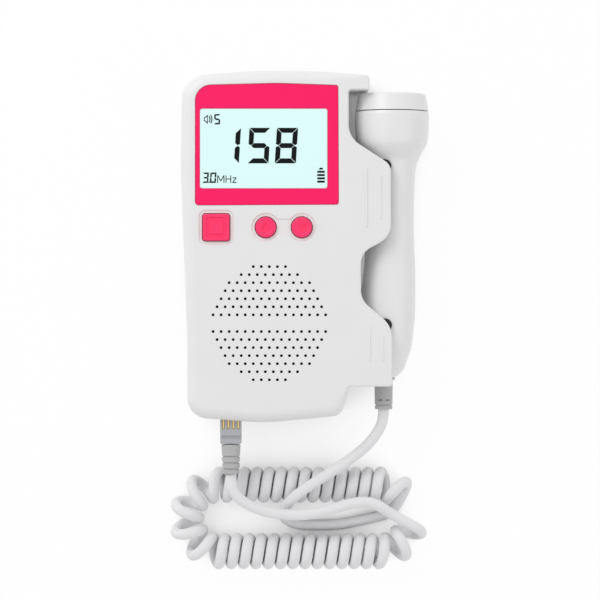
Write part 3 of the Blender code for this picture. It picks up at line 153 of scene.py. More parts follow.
# The room inside the shells and the panel, in the same form. A corner with no place across lies at
# the wall beside the probe's channel.
ROOM_CORNERS = [
    (0.0590, -0.4734, 0.0370),
    (0.7000, -0.4734, 0.0250),
    (0.7600, -0.4400, 0.0250),
    (None, -0.3990, 0.0100),
    (None, 0.4748, 0.0370),
    (0.0320, 0.4748, 0.0740),
]
PANEL_CORNERS = [
    (0.0706, 0.1165, 0.0185),
    (0.7454, 0.1188, 0.0100),
    (0.7426, 0.4556, 0.0100),
    (0.4551, 0.4616, 0.7400),
    (0.0710, 0.4556, 0.0740),
]
# Grip ribs: place across, lower end and upper end
RIBS = [
    (0.8770, 0.0530, 0.2250),
    (0.9434, 0.0780, 0.2000),
    (0.8918, -0.3270, -0.2240),
    (0.9533, -0.3270, -0.2510),
]
GRILLE_ROWS = [15, 14, 13, 12, 11, 8, 5]
SCREWS = [(0.0947, 0.4334), (0.7073, 0.4334), (0.1046, -0.4260), (0.6950, -0.4260)]

# One section of the probe a row: distance from the head's end as a share of the length, then shift,
# half width and half depth as shares of the head's radius.
PROBE_SECTIONS = [
    (0.0640, 0.0, 0.989, 0.989),
    (0.0768, 0.0, 1.000, 1.000),
    (0.1444, 0.0, 0.985, 0.985),
    (0.1782, 0.0, 0.940, 0.930),
    (0.2057, 0.0, 0.822, 0.780),
    (0.2322, -0.005, 0.724, 0.645),
    (0.2596, -0.024, 0.675, 0.625),
    (0.2934, -0.038, 0.655, 0.620),
    (0.4314, -0.052, 0.641, 0.600),
    (0.5229, -0.059, 0.655, 0.605),
    (0.6243, -0.066, 0.696, 0.620),
    (0.7367, -0.129, 0.759, 0.640),
    (0.7925, -0.185, 0.801, 0.640),
    (0.8446, -0.212, 0.787, 0.640),
    (0.8995, -0.219, 0.738, 0.620),
    (0.9534, -0.226, 0.606, 0.520),
    (0.9744, -0.226, 0.543, 0.470),
    (0.9954, -0.226, 0.404, 0.370),
    (1.0000, -0.226, 0.350, 0.330),
]

# The curly lead's ring and the routes of its two straight leads, as in the part's source
CURL_RADIUS = 5.15 * MM
RING = Vector((-2.3 * MM, -105.8 * MM, 0))
RING_REST = 0.15 * MM
RING_BEND = 13.0 * MM
RING_STRAIGHT = 62.4 * MM
STRAIGHT_PITCH = 4.8 * MM
BEND_PITCH = 8.1 * MM
START_TURN_SHARE = 0.06
END_TURN_SHARE = 0.36
CAD_POINTS_PER_CURL = 8
PLUG_LEAD_ROUTE = [
    (-27.6 * MM, -95.2 * MM, 22.6 * MM),
    (-23.0 * MM, -99.4 * MM, 21.2 * MM),
    (-16.5 * MM, -102.2 * MM, 19.8 * MM),
    (-9.0 * MM, -103.6 * MM, 19.0 * MM),
    (-1.0 * MM, -103.9 * MM, 18.2 * MM),
    (7.5 * MM, -102.6 * MM, 17.8 * MM),
    (16.0 * MM, -99.9 * MM, 17.8 * MM),
    (24.0 * MM, -98.6 * MM, 17.6 * MM),
    (29.6 * MM, -101.0 * MM, 16.0 * MM),
]
PROBE_LEAD_ROUTE = [
    (23.6 * MM, -106.6 * MM, 2.7 * MM),
    (14.0 * MM, -108.6 * MM, 2.7 * MM),
    (3.5 * MM, -108.9 * MM, 2.9 * MM),
    (-4.0 * MM, -108.4 * MM, 4.2 * MM),
    (-8.6 * MM, -105.4 * MM, 8.0 * MM),
    (-8.0 * MM, -101.2 * MM, 13.4 * MM),
    (-4.0 * MM, -96.6 * MM, 17.2 * MM),
    (2.2 * MM, -92.2 * MM, 18.0 * MM),
    (9.4 * MM, -87.6 * MM, 18.0 * MM),
    (17.0 * MM, -82.6 * MM, 18.0 * MM),
    (24.0 * MM, -77.0 * MM, 18.1 * MM),
    (28.6 * MM, -71.0 * MM, 18.3 * MM),
]

# How finely round shapes are stepped
ARC_STEP = math.radians(5)
EDGE_STEPS = 7
ROUND_SIDES = 64
SECTION_SIDES = 64
HOLE_SIDES = 20
CORD_SIDES = 16
POINTS_PER_CURL = 24
EASED_POINTS = 14
MERGE_DISTANCE = 0.001 * MM
SHARP_ANGLE = math.radians(34)


def length(name, value, about):
    return FloatProperty(name=name, default=value, description=about, unit="LENGTH", precision=5)


def colour(name, value, about):
    return FloatVectorProperty(
        name=name, default=value, description=about, subtype="COLOR", size=3, min=0, max=1
    )


class ShellSizes(bpy.types.PropertyGroup):
    """Edges and ribs of the two shells."""

    edge_round: length("Edge rounding", 4.4 * MM, "Radius of the body's outer edges")
    lip_round: length("Lip rounding", 0.8 * MM, "Radius of the cradle's edges")
    rib_width: length("Rib width", 0.9 * MM, "Width of a grip rib")
    rib_height: length("Rib height", 0.33 * MM, "How far a grip rib stands out")
    screw_head: length("Screw head", 2.7 * MM, "Radius of a screw's head")


class FaceSizes(bpy.types.PropertyGroup):
    """Details of the face."""

    rim: length("Rim rounding", 0.25 * MM, "Rounding of the rims around panel, buttons and holes")
    surround: length("Surround", 1.4 * MM, "Width of the hollow around a button")
    surround_depth: length("Surround depth", 0.4 * MM, "Depth of the hollow around a button")
    bridge: length("Bridge", 6.4 * MM, "Height of the hollow between the round buttons")
    button_round: length("Button edge", 0.5 * MM, "Rounding of a button's edge")
    hole_radius: length("Hole radius", 0.55 * MM, "Radius of a grille hole")
    hole_pitch: length("Hole pitch", 3.08 * MM, "Distance between neighbouring grille holes")
    hole_middle: length("Middle gap", 3.2 * MM, "Distance of the inner rows from the grille's middle")
    digit_height: length("Digit height", 13.6 * MM, "Height of the display's large digits")
    digit_stroke: length("Digit stroke", 1.9 * MM, "Width of a large digit's segments")


class LeadSizes(bpy.types.PropertyGroup):
    """The lead, its plug and its strain relief."""

    cord_radius: length("Cord radius", 2.1 * MM, "Half the cord's thickness")
    groove_depth: length("Groove depth", 0.45 * MM, "Depth of the boot's grooves")
    plug_chamfer: length("Plug edge", 0.45 * MM, "Rounding of the plug's edges")


class FinishColours(bpy.types.PropertyGroup):
    """Colours of the finishes."""

    shell: colour("Shell", (0.80, 0.80, 0.80), "White moulded shells")
    panel: colour("Panel", (0.97, 0.004, 0.125), "Pink face panel")
    button: colour("Buttons", (0.98, 0.026, 0.140), "Pink buttons")
    display: colour("Display", (0.64, 0.865, 0.845), "Lit display")
    segment: colour("Segments", (0.004, 0.005, 0.006), "Dark segments of the display")
    cord: colour("Cord", (0.67, 0.67, 0.67), "Cord jacket")
    boot: colour("Boots", (0.45, 0.45, 0.455), "Strain relief and plug boot")
    plug: colour("Plug", (0.52, 0.53, 0.55), "Clear plug")
    dark: colour("Dark", (0.010, 0.010, 0.011), "Black rubber and plastic")


class StudioSettings(bpy.types.PropertyGroup):
    """Camera, lamps and floor."""

    view_x: length("View X", -2.07 * MM, "Place that the camera looks at")
    view_y: length("View Y", -20.6 * MM, "Place that the camera looks at")
    view_height: length("View height", 1200 * MM, "Height of the camera")
    lens: FloatProperty(name="Lens", default=183.0, description="Focal length in millimetres")
    world: FloatProperty(name="World", default=0.625, description="Strength of the even light")
    lamp: FloatProperty(name="Lamp", default=3.7, description="Power of the main lamp in watts")
    floor: colour("Floor", (0.90, 0.90, 0.90), "Pale floor")
    whiteness: FloatProperty(
        name="Whiteness", default=0.96, min=0, max=1, description="Share of white in the open floor"
    )


# Outlines


def across(share):
    """The place at this share of the body's width from its left side."""
    return BODY_LEFT + share * BODY_WIDTH


def along(share):
    """The place at this share of the body's length from its middle."""
    return share * BODY_LENGTH


def arc(before, corner, after, radius):
    """The points that round one corner of an outline."""
    arriving = (corner - before).normalized()
    leaving = (after - corner).normalized()
    turn = arriving.angle_signed(leaving, 0)
    if radius == 0 or abs(turn) < math.radians(0.1):
        return [corner]
    side = Vector((arriving.y, -arriving.x)) * math.copysign(1, turn)
    centre = corner - arriving * radius * math.tan(abs(turn) / 2) + side * radius
    steps = max(1, math.ceil(abs(turn) / ARC_STEP))
    points = []
    for step in range(steps + 1):
        arm = -side * radius
        arm.rotate(Matrix.Rotation(-turn * step / steps, 2))
        points.append(centre + arm)
    return points


def rounded(corners):
    """The closed outline through corners of (x, y, radius), and the corner of each point."""
    points, owners = [], []
    for index, (x, y, radius) in enumerate(corners):
        before = Vector(corners[index - 1][:2])
        after = Vector(corners[(index + 1) % len(corners)][:2])
        added = arc(before, Vector((x, y)), after, radius)
        points += added
        owners += [index] * len(added)
    return points, owners


def profile_of(rows):
    """The open profile through rows of (radius, height, rounding)."""
    points = [Vector(rows[0][:2])]
    for before, row, after in zip(rows, rows[1:], rows[2:]):
        points += arc(Vector(before[:2]), Vector(row[:2]), Vector(after[:2]), row[2])
    return points + [Vector(rows[-1][:2])]


def inward(points):
    """At each point of an anticlockwise outline, the step that moves its two sides in by one."""
    steps = []
    for index, point in enumerate(points):
        before = (point - points[index - 1]).normalized()
        after = (points[(index + 1) % len(points)] - point).normalized()
        first = Vector((-before.y, before.x))
        middle = (first + Vector((-after.y, after.x))).normalized()
        steps.append(middle / max(middle.dot(first), 0.5))
    return steps


def grown(corners, amount):
    """The corners' outline as points, moved outwards."""
    points, _ = rounded(corners)
    return [point - step * amount for point, step in zip(points, inward(points))]


def rectangle(x, y, width, height, radius):
    """The corners of an upright rectangle."""
    half_width, half_height = width / 2, height / 2
    return [
        (x - half_width, y - half_height, radius),
        (x + half_width, y - half_height, radius),
        (x + half_width, y + half_height, radius),
        (x - half_width, y + half_height, radius),
    ]


def disc(x, y, radius, sides=ROUND_SIDES):
    """A circle's points."""
    angles = [2 * math.pi * side / sides for side in range(sides)]
    return [Vector((x + radius * math.cos(angle), y + radius * math.sin(angle))) for angle in angles]


def body_corners():
    rows = []
    for x_share, y_share, radius_share, _ in BODY_CORNERS:
        y = CRADLE_END if y_share is None else along(y_share)
        rows.append((across(x_share), y, radius_share * BODY_WIDTH))
    return rows


def share_corners(rows, side=0.0):
    """Corners from a table of shares. A corner with no place across lies on the given side."""
    corners = []
    for x_share, y_share, radius_share in rows:
        x = side if x_share is None else across(x_share)
        corners.append((x, along(y_share), radius_share * BODY_WIDTH))
    return corners


# Meshes


def mesh_object(name, bm):
    """A new object from this mesh, with its doubles merged and its faces pointing outwards."""
    bmesh.ops.remove_doubles(bm, verts=bm.verts, dist=MERGE_DISTANCE)
    bmesh.ops.dissolve_degenerate(bm, edges=bm.edges, dist=MERGE_DISTANCE)
    bmesh.ops.recalc_face_normals(bm, faces=bm.faces)
    mesh = bpy.data.meshes.new(name)
    bm.to_mesh(mesh)
    bm.free()
    obj = bpy.data.objects.new(name, mesh)
    bpy.context.scene.collection.objects.link(obj)
    return obj


def settled(obj):
    """Turns what the modifiers make into the object's own mesh."""
    depsgraph = bpy.context.evaluated_depsgraph_get()
    mesh = bpy.data.meshes.new_from_object(obj.evaluated_get(depsgraph), depsgraph=depsgraph)
    obj.modifiers.clear()
    obj.data = mesh
    return obj


def loft_into(bm, rings, closed=False):
    """Adds a tube through rings of points, with flat ends or closed on itself."""
    rows = [[bm.verts.new(point) for point in ring] for ring in rings]
    pairs = list(zip(rows, rows[1:]))
    if closed:
        pairs.append((rows[-1], rows[0]))
    for low, high in pairs:
        for index in range(len(low)):
            after = (index + 1) % len(low)
            bm.faces.new((low[index], low[after], high[after], high[index]))
    if not closed:
        bm.faces.new(rows[0][::-1])
        bm.faces.new(rows[-1])


def loft(name, rings, closed=False):
    bm = bmesh.new()
    loft_into(bm, rings, closed)
    return mesh_object(name, bm)


def level_ring(points, level):
    return [(point.x, point.y, level) for point in points]


def slab(name, corners, low, high, top=0.0, bottom=0.0):
    """A solid of this outline between two levels. top and bottom are the roundings of its edges,
    each one number or a number for every corner."""
    points, owners = rounded(corners)
    steps = inward(points)
    rings = []
    for level, rounding, facing in ((low, bottom, -1), (high, top, 1)):
        radii = [rounding[owner] if isinstance(rounding, list) else rounding for owner in owners]
        turns = EDGE_STEPS if max(radii) > 0 else 0
        edge = []
        for turn in range(turns + 1):
            angle = math.pi / 2 * turn / max(turns, 1)
            ring = []
            for point, step, radius in zip(points, steps, radii):
                moved = point + step * radius * (1 - math.cos(angle))
                ring.append((moved.x, moved.y, level - facing * radius * (1 - math.sin(angle))))
            edge.append(ring)
        rings += edge if facing > 0 else edge[::-1]
    return loft(name, rings)


def body_slab(name, low, high, top=False):
    """The body's outline between two levels, with its rounded edge at the top or the bottom."""
    sizes = bpy.context.scene.monitor_shells
    radii = [sizes.edge_round if row[3] else sizes.lip_round for row in BODY_CORNERS]
    flat = [0.0] * len(radii)
    return slab(name, body_corners(), low, high, radii if top else flat, flat if top else radii)


def recess(name, outline_at, floor, level, rim):
    """A cutter for a recess from its floor to a level, whose rim is rounded. outline_at gives the
    outline's points at an outward distance."""
    rings = [level_ring(outline_at(0.0), floor)]
    for turn in range(EDGE_STEPS + 1):
        angle = math.pi / 2 * turn / EDGE_STEPS
        inset, drop = rim * (1 - math.cos(angle)), rim * (1 - math.sin(angle))
        rings.append(level_ring(outline_at(inset), level - drop))
    rings.append(level_ring(outline_at(rim), level + OVERRUN))
    return loft(name, rings)


def block(name, low, high):
    corners = [(low[0], low[1], 0), (high[0], low[1], 0), (high[0], high[1], 0), (low[0], high[1], 0)]
    return slab(name, corners, low[2], high[2])


def turned(name, profile, origin, axis=(0, 0, 1), sides=ROUND_SIDES, closed=False):
    """A solid turned from a profile of radius and height about an axis through the origin."""
    turn = Vector((0, 0, 1)).rotation_difference(Vector(axis)).to_matrix().to_4x4()
    bm = bmesh.new()
    rows = []
    for radius, height in profile:
        count = 1 if radius == 0 else sides
        angles = [2 * math.pi * side / sides for side in range(count)]
        rows.append([bm.verts.new((radius * math.cos(a), radius * math.sin(a), height)) for a in angles])
    pairs = list(zip(rows, rows[1:]))
    if closed:
        pairs.append((rows[-1], rows[0]))
    for first, second in pairs:
        for side in range(sides):
            after = (side + 1) % sides
            corners = []
            for row, place in ((first, side), (first, after), (second, after), (second, side)):
                corner = row[place % len(row)]
                if corner not in corners:
                    corners.append(corner)
            if len(corners) > 2:
                bm.faces.new(corners)
    bmesh.ops.transform(bm, matrix=Matrix.Translation(origin) @ turn, verts=bm.verts)
    return mesh_object(name, bm)


def cylinder(name, radius, start, end, sides=ROUND_SIDES):
    start, end = Vector(start), Vector(end)
    reach = (end - start).length
    return turned(name, [(0, 0), (radius, 0), (radius, reach), (0, reach)], start, end - start, sides)


def combine(obj, operation, *others):
    """Cuts, joins or intersects other objects with this one, and removes them."""
    for other in others:
        modifier = obj.modifiers.new(other.name, "BOOLEAN")
        modifier.operation = operation
        modifier.solver = "EXACT"
        modifier.object = other
    settled(obj)
    for other in others:
        bpy.data.objects.remove(other)
    return obj


def bevelled(obj, width, segments=3, angle=SHARP_ANGLE):
    """Rounds the object's sharp edges."""
    modifier = obj.modifiers.new("Edges", "BEVEL")
    modifier.width = width
    modifier.segments = segments
    modifier.limit_method = "ANGLE"
    modifier.angle_limit = angle
    return settled(obj)


def smoothed(obj, angle=SHARP_ANGLE):
    """Smooth shading, with crisp edges and level flats."""
    obj.data.shade_smooth()
    obj.data.set_sharp_from_angle(angle=angle)
    modifier = obj.modifiers.new("Shading", "WEIGHTED_NORMAL")
    modifier.keep_sharp = True
    return settled(obj)


def placed(obj, material, slot, body, *nodes):
    """Gives a finished piece its material and the body that it rides on. Its slot is not used."""
    obj.data.materials.clear()
    obj.data.materials.append(material)
    if nodes:
        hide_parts(*nodes)
    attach(obj, body)
    return obj


# Finishes


class Term:
    """A socket's value in an expression."""

    def __init__(self, finish, socket):
        self.finish = finish
        self.socket = socket

    def worked(self, operation, first, second=None):
        values = {0: first} if second is None else {0: first, 1: second}
        return self.finish.node("ShaderNodeMath", {"operation": operation}, values)

    def __add__(self, other):
        return self.worked("ADD", self, other)

    def __radd__(self, other):
        return self.worked("ADD", other, self)

    def __sub__(self, other):
        return self.worked("SUBTRACT", self, other)

    def __rsub__(self, other):
        return self.worked("SUBTRACT", other, self)

    def __mul__(self, other):
        return self.worked("MULTIPLY", self, other)

    def __rmul__(self, other):
        return self.worked("MULTIPLY", other, self)

    def __abs__(self):
        return self.worked("ABSOLUTE", self)


class Shading:
    """A material's or world's nodes."""

    def __init__(self, owner):
        owner.use_nodes = True
        self.nodes = owner.node_tree.nodes
        self.links = owner.node_tree.links

    def node(self, kind, settings, values, output=0):
        """Adds a node with its settings first, then the values or links of its inputs."""
        node = self.nodes.new(kind)
        for name, value in settings.items():
            setattr(node, name, value)
        for key, value in values.items():
            self.feed(node.inputs[key], value)
        return Term(self, node.outputs[output])

    def feed(self, socket, value):
        if isinstance(value, Term):
            self.links.new(value.socket, socket)
        elif isinstance(value, tuple) and len(value) == 3 and socket.type == "RGBA":
            socket.default_value = (*value, 1)
        else:
            socket.default_value = value

    def white_rays(self):
        """1 for what the camera sees, directly, mirrored or through glass."""
        kinds = ("Is Camera Ray", "Is Glossy Ray", "Is Transmission Ray")
        camera, glossy, through = (self.node("ShaderNodeLightPath", {}, {}, kind) for kind in kinds)
        return camera + glossy + through


class Finish(Shading):
    """A material that is written with nodes."""

    def __init__(self, name):
        self.material = bpy.data.materials.new(name)
        super().__init__(self.material)
        self.shader = self.nodes["Principled BSDF"]
        self.output = self.nodes["Material Output"]

    def set(self, **values):
        """Sets the shader's inputs by their names, with _ for a space."""
        for name, value in values.items():
            self.feed(self.shader.inputs[name.replace("_", " ")], value)
        return self

    def place(self):
        return self.node("ShaderNodeTexCoord", {}, {}, "Object")

    def noise(self, scale, detail=2.0, roughness=0.5):
        """Noise from 0 to 1 with this many spots a metre."""
        values = {"Vector": self.place(), "Scale": scale, "Detail": detail, "Roughness": roughness}
        return self.node("ShaderNodeTexNoise", {}, values, "Fac")

    def mix(self, share, first, second):
        """The first colour passing into the second. The sockets have numbers as their names repeat."""
        return self.node("ShaderNodeMix", {"data_type": "RGBA"}, {0: share, 6: first, 7: second}, 2)

    def bump(self, height, strength, distance):
        values = {"Strength": strength, "Distance": distance, "Height": height}
        return self.set(Normal=self.node("ShaderNodeBump", {}, values, "Normal"))


def shade(colour_value, share):
    """The colour, this much darker or lighter."""
    return tuple(min(1.0, channel * share) for channel in colour_value)


def moulded(name, colour_value, roughness, grain, depth, variation=0.02):
    """Moulded plastic with a spark-eroded grain: the grain's spots a metre and its depth."""
    finish = Finish(name)
    cloud = finish.noise(60.0)
    fine = finish.noise(grain, 3.0, 0.6)
    darker, lighter = shade(colour_value, 1 - variation), shade(colour_value, 1 + variation)
    finish.set(Base_Color=finish.mix(cloud, darker, lighter), Roughness=roughness - 0.04 + 0.08 * fine)
    finish.bump(fine, 0.5, depth)
    return finish


def metal(name, colour_value, roughness, streaks):
    """Metal with faint marks from drawing or stamping."""
    finish = Finish(name)
    marks = finish.noise(streaks, 4.0, 0.7)
    finish.set(
        Base_Color=finish.mix(marks, shade(colour_value, 0.9), colour_value),
        Metallic=1.0,
        Roughness=roughness + 0.12 * marks,
    )
    return finish


def make_finishes():
    """Every finish by name."""
    colours = bpy.context.scene.monitor_colours
    shell = moulded("shell_white", tuple(colours.shell), 0.42, 2600.0, 0.02 * MM)
    shell.set(Specular_IOR_Level=0.4)
    probe = moulded("probe_white", tuple(colours.shell), 0.34, 2400.0, 0.012 * MM)
    panel = moulded("panel_pink", tuple(colours.panel), 0.50, 3200.0, 0.006 * MM, 0.01)
    panel.set(Specular_IOR_Level=0.3)
    button = moulded("button_pink", tuple(colours.button), 0.40, 2600.0, 0.012 * MM)
    rubber = moulded("black_rubber", tuple(colours.dark), 0.70, 3000.0, 0.03 * MM)
    plastic = moulded("black_plastic", tuple(colours.dark), 0.38, 2600.0, 0.012 * MM)
    boot = moulded("boot_grey", tuple(colours.boot), 0.50, 2600.0, 0.02 * MM)
    paper = moulded("cone_paper", (0.025, 0.024, 0.022), 0.88, 1800.0, 0.06 * MM)
    sleeve = moulded("cell_sleeve", (0.03, 0.09, 0.26), 0.30, 900.0, 0.004 * MM)
    sleeve.set(Coat_Weight=0.4)
    disc_finish = moulded("sensor_disc", (0.62, 0.55, 0.40), 0.45, 2000.0, 0.01 * MM)

    cord = Finish("cord_jacket")
    grain = cord.noise(1800.0, 3.0)
    dust = cord.noise(90.0)
    tone = tuple(colours.cord)
    cord.set(Base_Color=cord.mix(dust, shade(tone, 0.97), tone), Roughness=0.40 + 0.10 * grain)
    cord.bump(grain, 0.4, 0.015 * MM)

    plug = Finish("clear_plug")
    flow = plug.noise(220.0, 2.0)
    tone = tuple(colours.plug)
    plug.set(
        Base_Color=plug.mix(flow, shade(tone, 0.90), shade(tone, 1.12)),
        Roughness=0.10 + 0.06 * flow,
        Coat_Weight=0.6,
    )

    display = Finish("display_lit")
    tint = display.noise(25.0)
    tone = tuple(colours.display)
    lit = display.mix(tint, shade(tone, 0.985), tone)
    display.set(Base_Color=lit, Roughness=0.30 + 0.02 * tint, Emission_Color=lit, Emission_Strength=0.16)
    display.set(Specular_IOR_Level=0.2)
    segment = moulded("display_segment", tuple(colours.segment), 0.55, 3000.0, 0.002 * MM)
    segment.set(Specular_IOR_Level=0.1)

    board = Finish("circuit_board")
    track = abs(board.noise(420.0, 1.0) - 0.5)
    mask = board.node("ShaderNodeMath", {"operation": "GREATER_THAN"}, {0: track, 1: 0.035})
    lacquer = board.mix(mask, (0.05, 0.30, 0.12), (0.012, 0.15, 0.06))
    board.set(Base_Color=lacquer, Roughness=0.42 - 0.1 * mask)
    board.bump(mask, 0.3, 0.03 * MM)

    steel = metal("steel", (0.56, 0.56, 0.57), 0.26, 700.0)
    gold = metal("gold_contact", (0.80, 0.55, 0.20), 0.20, 900.0)
    finishes = (
        shell, probe, panel, button, rubber, plastic, boot, paper, sleeve, disc_finish, cord, plug,
        display, segment, board, steel, gold,
    )
    return {finish.material.name: finish.material for finish in finishes}


# Geometry Nodes


class Tree:
    """A Geometry Nodes tree with named inputs, that ends in Realize Instances and Set Material."""

    def __init__(self, name):
        self.tree = bpy.data.node_groups.new(name, "GeometryNodeTree")
        self.tree.interface.new_socket("Geometry", in_out="INPUT", socket_type="NodeSocketGeometry")
        self.tree.interface.new_socket("Geometry", in_out="OUTPUT", socket_type="NodeSocketGeometry")
        self.values = {}
        self.entry = self.tree.nodes.new("NodeGroupInput")
        self.exit = self.tree.nodes.new("NodeGroupOutput")

    def input(self, name, kind, value):
        socket = self.tree.interface.new_socket(name, in_out="INPUT", socket_type=kind)
        self.values[socket.identifier] = value
        return self.entry.outputs[name]

    def node(self, kind, settings, values, output=0):
        node = self.tree.nodes.new(kind)
        for name, value in settings.items():
            setattr(node, name, value)
        for key, value in values.items():
            if isinstance(value, bpy.types.NodeSocket):
                self.tree.links.new(value, node.inputs[key])
            else:
                node.inputs[key].default_value = value
        return node.outputs[output]

    def made(self, name, geometry, points, material):
        """The mesh that the tree makes on these points."""
        whole = self.node("GeometryNodeRealizeInstances", {}, {"Geometry": geometry})
        dressed = self.node("GeometryNodeSetMaterial", {}, {"Geometry": whole, "Material": material})
        self.tree.links.new(dressed, self.exit.inputs[0])
        mesh = bpy.data.meshes.new(name)
        mesh.from_pydata([tuple(point) for point in points], [], [])
        obj = bpy.data.objects.new(name, mesh)
        bpy.context.scene.collection.objects.link(obj)
        modifier = obj.modifiers.new(name, "NODES")
        modifier.node_group = self.tree
        for identifier, value in self.values.items():
            modifier[identifier] = value
        return settled(obj)


def hole_cutters(name, base, depth, bottom_radius, top_radius, material):
    """One tapered cutter at every hole of the grille."""
    sizes = bpy.context.scene.monitor_face
    points = []
    for row, count in enumerate(GRILLE_ROWS):
        distance = sizes.hole_middle + row * sizes.hole_pitch
        for side in (-1, 1):
            for hole in range(count):
                x = (hole - (count - 1) / 2) * sizes.hole_pitch
                points.append((GRILLE.x + x, GRILLE.y + side * distance, base))
    tree = Tree(name)
    values = {"Vertices": HOLE_SIDES}
    values["Radius Top"] = tree.input("Top Radius", "NodeSocketFloat", top_radius)
    values["Radius Bottom"] = tree.input("Bottom Radius", "NodeSocketFloat", bottom_radius)
    values["Depth"] = tree.input("Depth", "NodeSocketFloat", depth)
    hole = tree.node("GeometryNodeMeshCone", {}, values)
    values = {"Points": tree.entry.outputs[0], "Instance": hole}
    holes = tree.node("GeometryNodeInstanceOnPoints", {}, values)
    return tree.made(name, holes, points, material)


def grille_cutters(material):
    """The grille's holes and their eased rims."""
    sizes = bpy.context.scene.monitor_face
    radius, ease = sizes.hole_radius, 0.15 * MM
    base = FACE_UNDERSIDE - OVERRUN
    shafts = hole_cutters("hole_shafts", base, FACE_LEVEL + OVERRUN - base, radius, radius, material)
    small, large = radius - 0.01 * MM, radius + 2 * ease
    rims = hole_cutters("hole_rims", FACE_LEVEL - ease, 2 * ease, small, large, material)
    return shafts, rims


def screws_made(material):
    """Four countersunk screws, each with a cross recess, copied onto their places."""
    sizes = bpy.context.scene.monitor_shells
    head = sizes.screw_head
    screw = turned(
        "screw_form",
        profile_of([
            (0, 14.0 * MM, 0),
            (1.1 * MM, 13.4 * MM, 0.3 * MM),
            (1.2 * MM, 0, 0),
            (head, -0.1 * MM, 0),
            (head, -1.8 * MM, 0.5 * MM),
            (0, -1.8 * MM, 0),
        ]),
        (0, 0, 8.7 * MM),
    )
    arms = []
    for number, (half_x, half_y) in enumerate(((1.5 * MM, 0.32 * MM), (0.32 * MM, 1.5 * MM))):
        arms.append(block(f"arm_{number}", (-half_x, -half_y, 6.0 * MM), (half_x, half_y, 7.9 * MM)))
    combine(screw, "DIFFERENCE", *arms)
    smoothed(screw)
    tree = Tree("Housing screws")
    form = tree.input("Screw", "NodeSocketObject", screw)
    info = tree.node("GeometryNodeObjectInfo", {}, {"Object": form}, "Geometry")
    values = {"Points": tree.entry.outputs[0], "Instance": info}
    copies = tree.node("GeometryNodeInstanceOnPoints", {}, values)
    places = [(across(x), along(y), 0) for x, y in SCREWS]
    screws = tree.made("screw_heads", copies, places, material)
    bpy.data.objects.remove(screw)
    return screws


# Pieces


def button_places():
    return {
        "power": middle_of("power_button"),
        "volume_up": middle_of("volume_up_button"),
        "volume_down": middle_of("volume_down_button"),
    }


def button_cutters():
    """Shallow surrounds with rounded rims, and the holes that the buttons stand in."""
    sizes = bpy.context.scene.monitor_face
    places = button_places()
    floor = FACE_LEVEL - sizes.surround_depth
    below = FACE_UNDERSIDE - OVERRUN
    cutters = []
    spot = places["power"]
    wide_side, hole_side = KEY_SIDE + 2 * sizes.surround, KEY_SIDE + 2 * GAP
    wide = rectangle(spot.x, spot.y, wide_side, wide_side, 2.4 * MM)
    hole = rectangle(spot.x, spot.y, hole_side, hole_side, 1.3 * MM)
    cutters.append(recess("power_surround", lambda out: grown(wide, out), floor, FACE_LEVEL, sizes.rim))
    cutters.append(slab("power_hole", hole, below, FACE_LEVEL + OVERRUN))
    left, right = places["volume_up"], places["volume_down"]
    middle = (left + right) / 2
    bridge = rectangle(middle.x, middle.y, right.x - left.x, sizes.bridge, 0)
    cutters.append(recess("bridge", lambda out: grown(bridge, out), floor, FACE_LEVEL, sizes.rim))
    ring = KEY_RADIUS + sizes.surround
    for number, spot in enumerate((left, right)):
        def around(out, spot=spot):
            return disc(spot.x, spot.y, ring + out)

        cutters.append(recess(f"surround_{number}", around, floor, FACE_LEVEL, sizes.rim))
        low = (spot.x, spot.y, below)
        high = (spot.x, spot.y, FACE_LEVEL + OVERRUN)
        cutters.append(cylinder(f"hole_{number}", KEY_RADIUS + GAP, low, high))
    return cutters


def channel_cutters(low, high):
    """The probe's channel and the slot for its strain relief."""
    right = BODY_RIGHT + OVERRUN
    core_side = across(NOTCH_SHARE) + GAP
    channel_end = CRADLE_END + 2.0 * MM
    channel_top = along(HORN_SHARE) - HEAD_RADIUS
    channel = block("channel", (core_side, channel_end, low), (right, channel_top, high))
    slot_left = RELIEF.x - 4.7 * MM
    slot = block("slot", (slot_left, CRADLE_END - OVERRUN, low), (right, channel_end + OVERRUN, high))
    return channel, slot


def room_corners():
    return share_corners(ROOM_CORNERS, across(NOTCH_SHARE) + GAP - 2.3 * MM)


def plug_opening():
    low, high = low_corner("plug_body"), high_corner("plug_body")
    grow = Vector((GAP, GAP, GAP))
    return block("plug_opening", low - grow, high + grow)


def jack_opening():
    spot = middle_of("headphone_jack")
    start = Vector((spot.x, BODY_BOTTOM - OVERRUN, spot.z))
    return cylinder("jack_opening", JACK_HOLE_RADIUS, start, start + Vector((0, 8.0 * MM, 0)))


